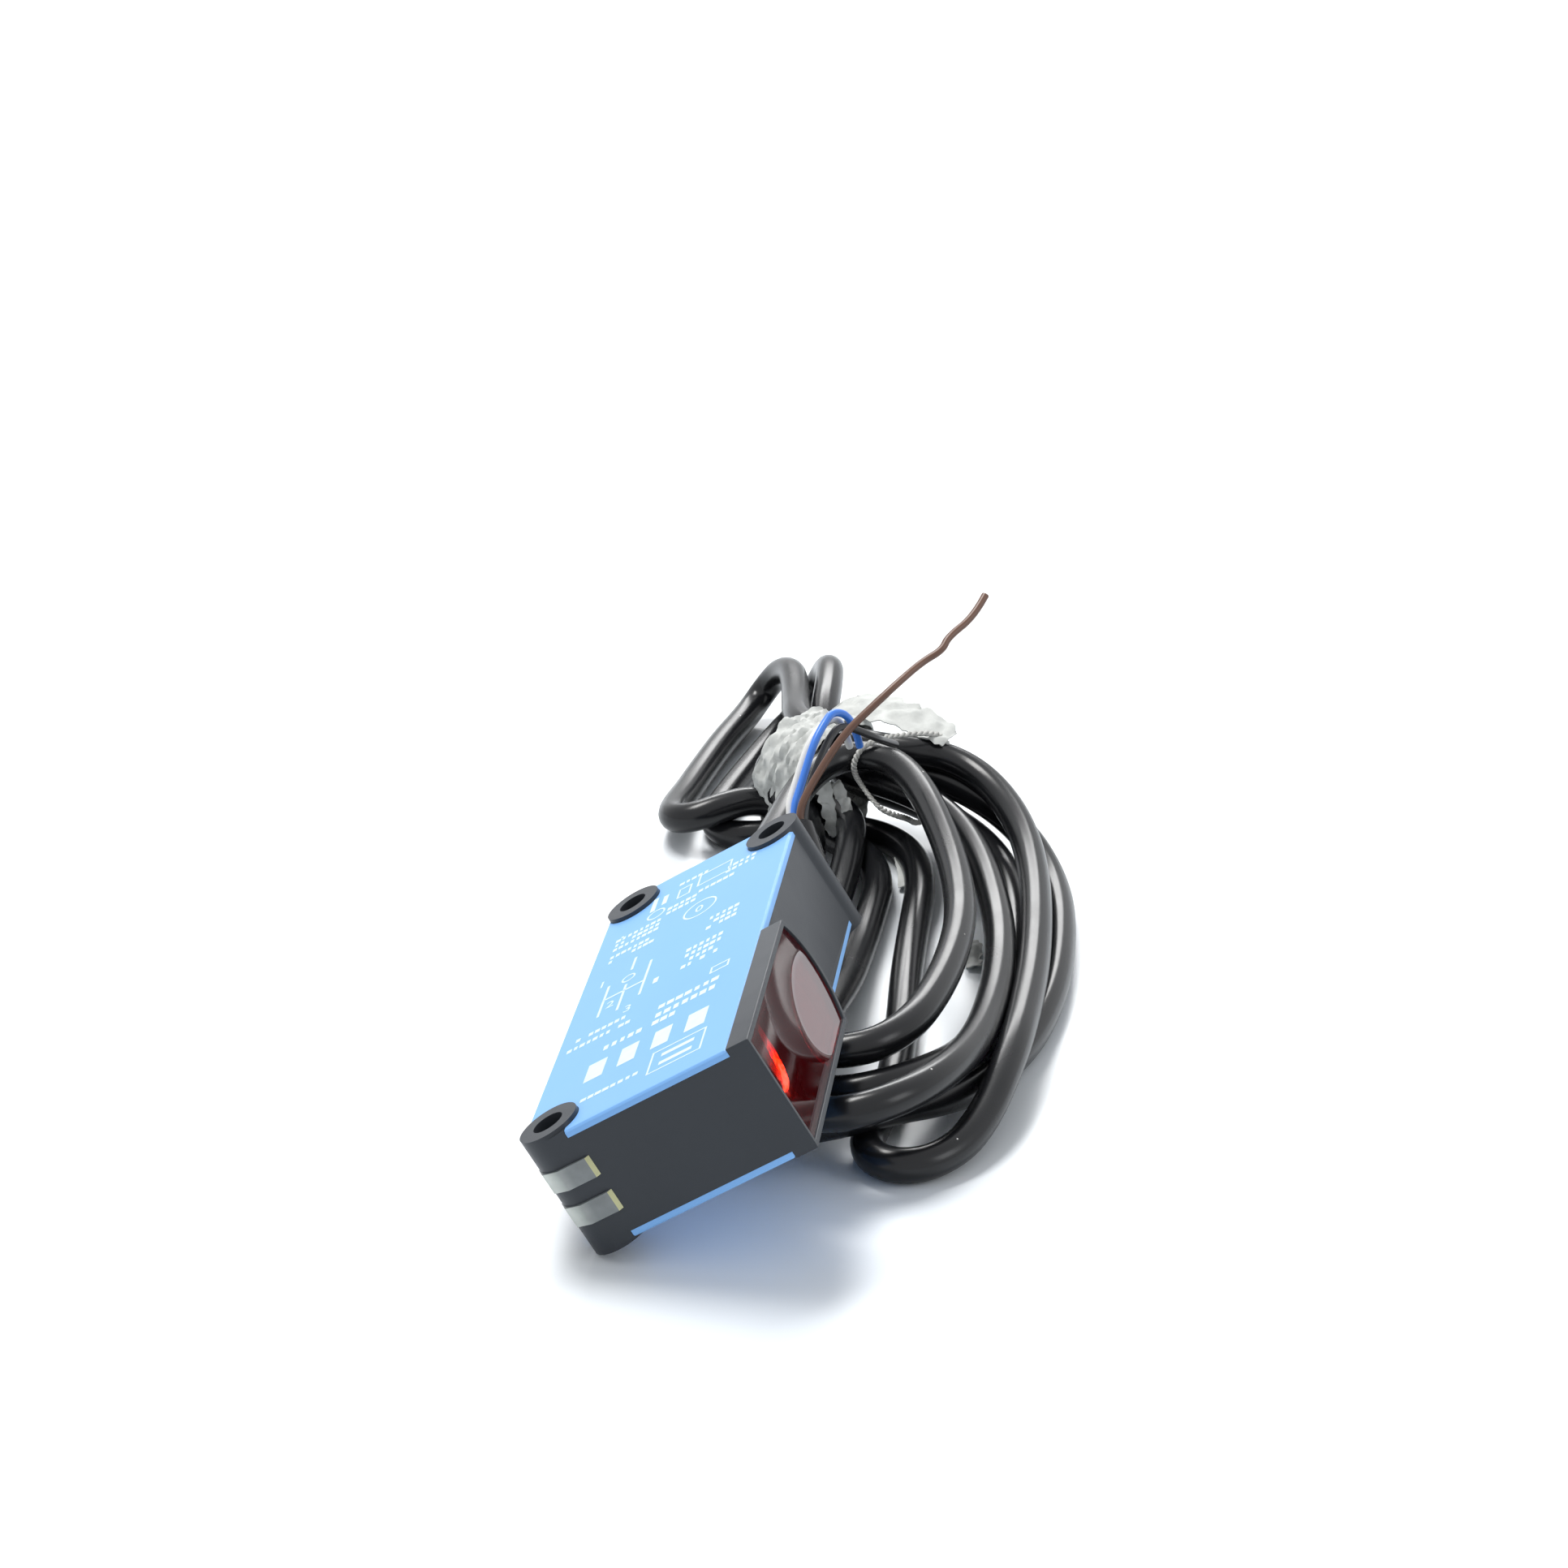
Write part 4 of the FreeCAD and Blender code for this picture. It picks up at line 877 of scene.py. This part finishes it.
class SENSOR_OT_light_guides(bpy.types.Operator):
    """Gives the two indicator windows their frosted clear plastic, with painted light and shade on
    each facet
    """
    bl_idname = "light_sensor.light_guides"
    bl_label = "Indicator Windows"

    # outline in the sensor's depth and length: the raised, faceted face, then round its inside
    OUTLINE = [(7.95, 0.0), (7.40, -0.42), (3.40, -0.42), (0.95, 0.80), (0.0, 3.0), (0.0, 6.0),
               (1.0, 6.0), (1.0, 4.1), (1.91, 1.91), (4.1, 1.0), (6.9, 1.0), (6.9, 9.4),
               (7.9, 9.4), (7.9, 0.0)]
    WIDTH = 2.9
    LOWS = {"power": 10.0, "status": 4.75}
    EDGE = 0.16
    # painted light and shade: the colours of the pale corner, the grey face and the green-yellow end
    PALE, GREY, GREENISH = (0.66, 0.70, 0.66), (0.22, 0.24, 0.245), (0.62, 0.62, 0.34)

    def execute(self, context):
        frosted = moulded("Frosted Clear Plastic", (0.62, 0.64, 0.58, 1), 0.16, drift=0.30,
                          drift_scale=420.0, swing=0.10, grain=1200.0, depth=0.4,
                          relief=0.00004, Transmission_Weight=0.15, IOR=1.49)
        self.paint_facet_light(frosted)
        for name, low in self.LOWS.items():
            shaped = rounded(mesh_from(name, lambda work: self.shape(work, low)), 30.0,
                             width=self.EDGE * MM, segments=3, limit_method="ANGLE",
                             angle_limit=math.radians(50))
            made = new_piece(f"{name}_indicator_window", shaped, frosted)
            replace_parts(made, f"{name}_light_guide")
        return {"FINISHED"}

    def shape(self, work, low):
        """The faceted outline carried across the window's width."""
        ends = [[work.verts.new(spot(depth, length, height)) for depth, length in self.OUTLINE]
                for height in (low, low + self.WIDTH)]
        work.faces.new(ends[0])
        work.faces.new(list(reversed(ends[1])))
        skin(work, ends, row_closes=True)

    def paint_facet_light(self, material):
        """Painted light and shade: each facet gets its own tone by the way it faces: pale corner,
        grey face, green-yellow end.
        """
        nodes = Tree(material.node_tree)
        facing = nodes.add("ShaderNodeNewGeometry")
        deep = SENSOR.to_3x3() @ Vector((1, 0, 0))
        turn = nodes.vector("DOT_PRODUCT", {0: facing.outputs["Normal"], 1: deep}, "Value")
        share = nodes.ranged(turn, -1.0, 1.0)
        # painted light and shade, chosen by the way each facet faces
        painted_facet_light = nodes.ramp(share, [(0.0, self.PALE), (0.30, self.PALE), (0.42, self.GREY),
                                   (0.60, self.GREY), (0.70, self.GREENISH)])
        for node in nodes.tree.nodes:
            if node.type == "GROUP" and node.node_tree == shared(tone_drift):
                nodes.feed(node.inputs, {"Colour": painted_facet_light})


# --- what sits inside ---------------------------------------------------------------------

class SENSOR_OT_insides(bpy.types.Operator):
    """Gives the optics, the boards, their parts, the gland and the inner leads their finishes"""
    bl_idname = "light_sensor.insides"
    bl_label = "Optics, Boards and Gland"

    # colour, roughness, other values and the nodes that wear it
    WORN = {
        "Matt Black Optics": ((0.015, 0.015, 0.016), 0.7, {"grain": 2600.0, "depth": 0.4},
                              "optics_carrier"),
        "Lens Acrylic": ((0.92, 0.90, 0.90), 0.03, {
            "drift": 0.02, "swing": 0.01, "grain": 600.0, "depth": 0.02,
            "Transmission_Weight": 0.95, "IOR": 1.49}, "sender_lens receiver_lens"),
        "Polarising Film": ((0.20, 0.19, 0.21), 0.12, {
            "swing": 0.03, "grain": 900.0, "depth": 0.05, "Transmission_Weight": 0.4},
            "sender_polarising_film receiver_polarising_film"),
        "Green Solder Mask": ((0.018, 0.13, 0.045), 0.32, {
            "drift": 0.2, "drift_scale": 500.0, "grain": 1500.0, "depth": 0.3,
            "Coat_Weight": 0.3}, "optics_board main_board"),
        "Moulded Package": ((0.03, 0.03, 0.032), 0.6, {"grain": 3000.0, "depth": 0.6},
                            "receiver_photodiode amplifier_chip evaluation_chip output_driver "
                            "protection_diodes"),
        "Tinned Steel": ((0.72, 0.72, 0.70), 0.32, {
            "drift": 0.12, "drift_scale": 300.0, "swing": 0.12, "grain": 1800.0, "depth": 0.2,
            "Metallic": 1.0}, "shield_can cable_clamp"),
        "Plated Pins": ((0.85, 0.62, 0.28), 0.25, {
            "drift": 0.1, "grain": 2000.0, "depth": 0.1, "Metallic": 1.0}, "board_link_pins"),
        "Ceramic Body": ((0.46, 0.33, 0.20), 0.5, {
            "drift": 0.15, "drift_scale": 900.0, "grain": 3000.0, "depth": 0.3},
            "board_capacitors"),
        "Gland Rubber": ((0.018, 0.018, 0.02), 0.58, {
            "drift": 0.2, "drift_scale": 300.0, "grain": 2200.0, "depth": 0.5, "dust": 0.03,
            "dust_scale": 700.0}, "cable_gland"),
        "Red Emitter": ((0.75, 0.05, 0.04), 0.2, {
            "drift": 0.1, "grain": 900.0, "depth": 0.05, "Transmission_Weight": 0.3},
            "sender_red_led"),
        "Green Emitter": ((0.25, 0.75, 0.25), 0.25, {"drift": 0.1, "grain": 900.0, "depth": 0.05},
                          "power_indicator_led"),
        "Yellow Emitter": ((0.85, 0.60, 0.12), 0.25, {"drift": 0.1, "grain": 900.0, "depth": 0.05},
                           "status_indicator_led"),
    }

    def execute(self, context):
        for name, (colour, roughness, values, nodes) in self.WORN.items():
            finish = moulded(name, (*colour, 1), roughness, **values)
            for node in nodes.split():
                repaint(node, finish)
        for colour in CORE_ROUTES:
            repaint(f"{colour}_inner_lead", FINISHES[f"Core {colour}"])
        return {"FINISHED"}


# --- the tape and the twisted tie ---------------------------------------------------------

def crumple(place, size, fineness, seed):
    """A creased offset: sharp folds rather than soft waves."""
    q = place * fineness + Vector((seed, seed * 1.7, -seed))
    fold = abs(noise.noise(q)) - 0.25 + 0.5 * (abs(noise.noise(q * 2.3)) - 0.25)
    return fold * size


class SENSOR_OT_tape(bpy.types.Operator):
    """Wraps the crumpled paper tape round the waist of the hank, with its loose torn ends"""
    bl_idname = "light_sensor.tape"
    bl_label = "Tape"

    # the wrap's rounded square, in millimetres: half width, half height, middle, power of the round
    WIDE, TALL, LEVEL, SQUARENESS = 10.2, 8.9, 9.3, 2.6
    # where it sits along the waist, and how far it reaches along it
    PLACE, REACH = -4.9, 8.8
    AROUND, ACROSS = 132, 26
    TAIL_STEPS, TAIL_ACROSS = 30, 10
    PAPER = 0.16
    FLOOR_GAP = 0.15
    # from the wrap outwards, in millimetres: centre line, half width, way across, crumple
    TAILS = [
        ([(4.5, 110.2, 17.8), (9.5, 110.8, 18.8), (14.8, 108.4, 18.9), (20.0, 105.4, 18.2),
          (24.2, 102.4, 17.0)], 4.0, (0.5, 0.86, 0.22), 0.5),
        ([(4.5, 94.4, 13.6), (5.6, 92.4, 11.0), (6.6, 91.0, 8.0), (7.4, 90.6, 4.6)], 1.4,
         (0.85, -0.2, 0.4), 0.5),
        ([(7.0, 93.8, 12.4), (8.8, 91.8, 9.8), (9.8, 90.2, 6.8)], 1.0, (0.7, 0.5, 0.5), 0.5),
        ([(16.6, 93.6, 4.2), (17.4, 90.0, 2.4), (18.4, 85.0, 1.4), (18.8, 80.5, 1.0)], 0.8,
         (1.0, 0.1, 0.2), 0.3),
        ([(29.8, 62.6, 0.5), (31.0, 59.4, 1.3), (31.4, 56.0, 0.6), (31.8, 52.8, 1.2)], 1.5,
         (1.0, 0.2, 0.1), 0.5),
    ]

    def execute(self, context):
        paper = moulded("Torn Paper Tape", (0.52, 0.535, 0.52, 1), 0.62, drift=0.28,
                        drift_scale=420.0, swing=0.10, grain=1500.0, depth=0.9, relief=0.00008)
        parts = [self.thick(mesh_from("wrap", self.wrap_shape))]
        for number, tail in enumerate(self.TAILS):
            parts.append(self.thick(mesh_from(
                "tail", lambda work: self.tail_shape(work, number, *tail))))
        tape = new_piece("tape", joined("tape", parts), paper)
        smooth(tape.data, 50.0)
        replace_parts(tape, "binding_tape")
        return {"FINISHED"}

    def thick(self, mesh):
        """The same sheet with a wall of paper thickness."""
        piece = added("paper", mesh)
        wall = piece.modifiers.new("Paper", "SOLIDIFY")
        wall.thickness, wall.offset = self.PAPER * MM, 0.0
        return evaluated_mesh(piece)

    def wrap_shape(self, work):
        """One creased wrap round the waist, ragged at both rims."""
        rows = []
        for i in range(self.AROUND):
            angle = math.tau * i / self.AROUND
            c, s = math.cos(angle), math.sin(angle)
            reach = (abs(c / self.WIDE) ** self.SQUARENESS
                     + abs(s / self.TALL) ** self.SQUARENESS) ** (-1 / self.SQUARENESS)
            row = []
            for j in range(self.ACROSS + 1):
                share = j / self.ACROSS - 0.5
                torn = noise.noise(Vector((c * 2.2, s * 2.2, 4.0 * (share > 0)))) * 3.0
                if abs(share) <= 0.3:
                    torn *= abs(share)
                along = self.PLACE + share * (self.REACH + torn)
                middle = WAIST + WAIST_RUN * along
                place = middle + WAIST_SIDE * (c * reach)
                place.z = self.LEVEL + s * reach
                outward = (place - middle).normalized()
                fold = Vector((c * 4.4, s * 4.4, along * 1.3))
                place += outward * (0.25 + crumple(fold, 1.9, 0.42, 3.0)
                                    + crumple(fold, 0.5, 1.2, 8.0))
                place.z = max(self.FLOOR_GAP, place.z)
                row.append(work.verts.new(place * MM))
            rows.append(row)
        skin(work, rows, rows_close=True)

    def tail_shape(self, work, number, route, half, side, rough):
        """A loose ribbon of tape: a smooth run of its points, creased and torn at its end."""
        steps, across = self.TAIL_STEPS, self.TAIL_ACROSS
        side = Vector(side).normalized()
        rows = []
        for i in range(steps + 1):
            at = i / steps * (len(route) - 1)
            k = min(int(at), len(route) - 2)
            t = at - k
            points = [Vector(route[min(max(k + d, 0), len(route) - 1)]) for d in (-1, 0, 1, 2)]
            middle = 0.5 * (2 * points[1] + (points[2] - points[0]) * t
                            + (2 * points[0] - 5 * points[1] + 4 * points[2] - points[3]) * t * t
                            + (3 * points[1] - points[0] - 3 * points[2] + points[3]) * t ** 3)
            row = []
            for j in range(across + 1):
                share = 2 * j / across - 1
                torn = noise.noise(Vector((i * 0.35, share * 3, number))) * 0.35
                narrow = 1.0 - 0.35 * (i / steps) ** 2 + torn
                place = middle + side * (share * half * narrow)
                lift = crumple(place, 2.6, 0.34, number * 5.0) + crumple(place, 0.5, 0.9, number)
                place += Vector((0.3, -0.3, 0.9)) * lift * rough
                place.z = max(self.FLOOR_GAP, place.z)
                row.append(work.verts.new(place * MM))
            rows.append(row)
        skin(work, rows)


class SENSOR_OT_twist_tie(bpy.types.Operator):
    """Winds the thin twisted tie round the turns, just beside the tape"""
    bl_idname = "light_sensor.twist_tie"
    bl_label = "Twisted Tie"

    # a closed ring round the front turns, in millimetres
    RING = [(10.2, 93.8, 13.6), (9.9, 93.4, 15.8), (11.2, 94.2, 18.3), (14.2, 95.8, 19.3),
            (17.4, 97.6, 19.2), (20.6, 100.4, 18.6), (23.4, 104.6, 16.6), (24.0, 107.0, 12.0),
            (22.8, 107.0, 6.6), (21.0, 104.0, 2.9), (19.4, 99.6, 3.4), (18.4, 94.6, 6.4),
            (17.2, 91.0, 8.2), (14.6, 90.4, 9.4), (12.6, 92.0, 10.9), (11.0, 93.6, 12.4)]
    RING_RESOLUTION = 16
    TWISTS, SIDES = 30, 8
    # how far each cord winds from the centre line, and its own radius, in millimetres
    WIND, CORD = 0.24, 0.26

    def execute(self, context):
        cord = moulded("Tie Cord", (0.46, 0.46, 0.44, 1), 0.5, drift=0.35, drift_scale=600.0,
                       grain=2600.0, depth=0.7, relief=0.00004)
        centre = self.centre_line()
        parts = [self.strand(centre, offset) for offset in (0.0, math.pi)]
        tie = new_piece("twisted_tie", joined("twisted_tie", parts), cord)
        smooth(tie.data)
        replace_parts(tie, "twist_tie")
        return {"FINISHED"}

    def centre_line(self):
        """Points read from the closed ring."""
        curve, spline = smooth_spline("ring", self.RING, self.RING_RESOLUTION)
        spline.use_cyclic_u = True
        return [corner.co.copy() for corner in evaluated_mesh(added("ring", curve)).vertices]

    def strand(self, centre, offset):
        """One of the tie's two cords, wound round the ring's centre line."""
        count = len(centre)
        path = []
        for i, place in enumerate(centre):
            run = (centre[(i + 1) % count] - centre[i - 1]).normalized()
            out = run.cross(WAIST_RUN).normalized()
            turn = offset + math.tau * self.TWISTS * i / count
            way = out * math.cos(turn) + WAIST_RUN * math.sin(turn)
            path.append(place + way * self.WIND * MM)

        def tube(work):
            rings = []
            for i, place in enumerate(path):
                run = (path[(i + 1) % count] - path[i - 1]).normalized()
                out = run.cross(WAIST_RUN).normalized()
                level = run.cross(out)
                rings.append([work.verts.new(place + (out * math.cos(a) + level * math.sin(a))
                                             * self.CORD * MM)
                              for a in [math.tau * k / self.SIDES for k in range(self.SIDES)]])
            skin(work, rings, True, True)

        return mesh_from("strand", tube)


# --- the add-on ---------------------------------------------------------------------------

STEPS = [SENSOR_OT_stage, SENSOR_OT_cable, SENSOR_OT_housing, SENSOR_OT_covers,
         SENSOR_OT_label_print, SENSOR_OT_window, SENSOR_OT_light_guides, SENSOR_OT_insides,
         SENSOR_OT_tape, SENSOR_OT_twist_tie]


class SENSOR_PT_pieces(bpy.types.Panel):
    """Lists the settings and one button for each group of pieces"""
    bl_idname = "SENSOR_PT_pieces"
    bl_label = "Light Sensor"
    bl_space_type = "VIEW_3D"
    bl_region_type = "UI"
    bl_category = "Light Sensor"

    def draw(self, context):
        for owner in (context.scene.sensor_finish, context.scene.sensor_cable,
                      context.scene.sensor_stage):
            box = self.layout.box()
            for key in owner.__annotations__:
                box.prop(owner, key)
        for step in STEPS:
            self.layout.operator(step.bl_idname)


CLASSES = [SensorFinish, CableFinish, StageFinish, *STEPS, SENSOR_PT_pieces]
SETTINGS = {"sensor_finish": SensorFinish, "sensor_cable": CableFinish,
            "sensor_stage": StageFinish}


def register():
    for cls in CLASSES:
        bpy.utils.register_class(cls)
    for key, cls in SETTINGS.items():
        setattr(bpy.types.Scene, key, bpy.props.PointerProperty(type=cls))


def unregister():
    for key in SETTINGS:
        delattr(bpy.types.Scene, key)
    for cls in reversed(CLASSES):
        bpy.utils.unregister_class(cls)


def main():
    register()
    for step in STEPS:
        getattr(bpy.ops.light_sensor, step.bl_idname.split(".")[1])()


if __name__ == "__main__":
    main()
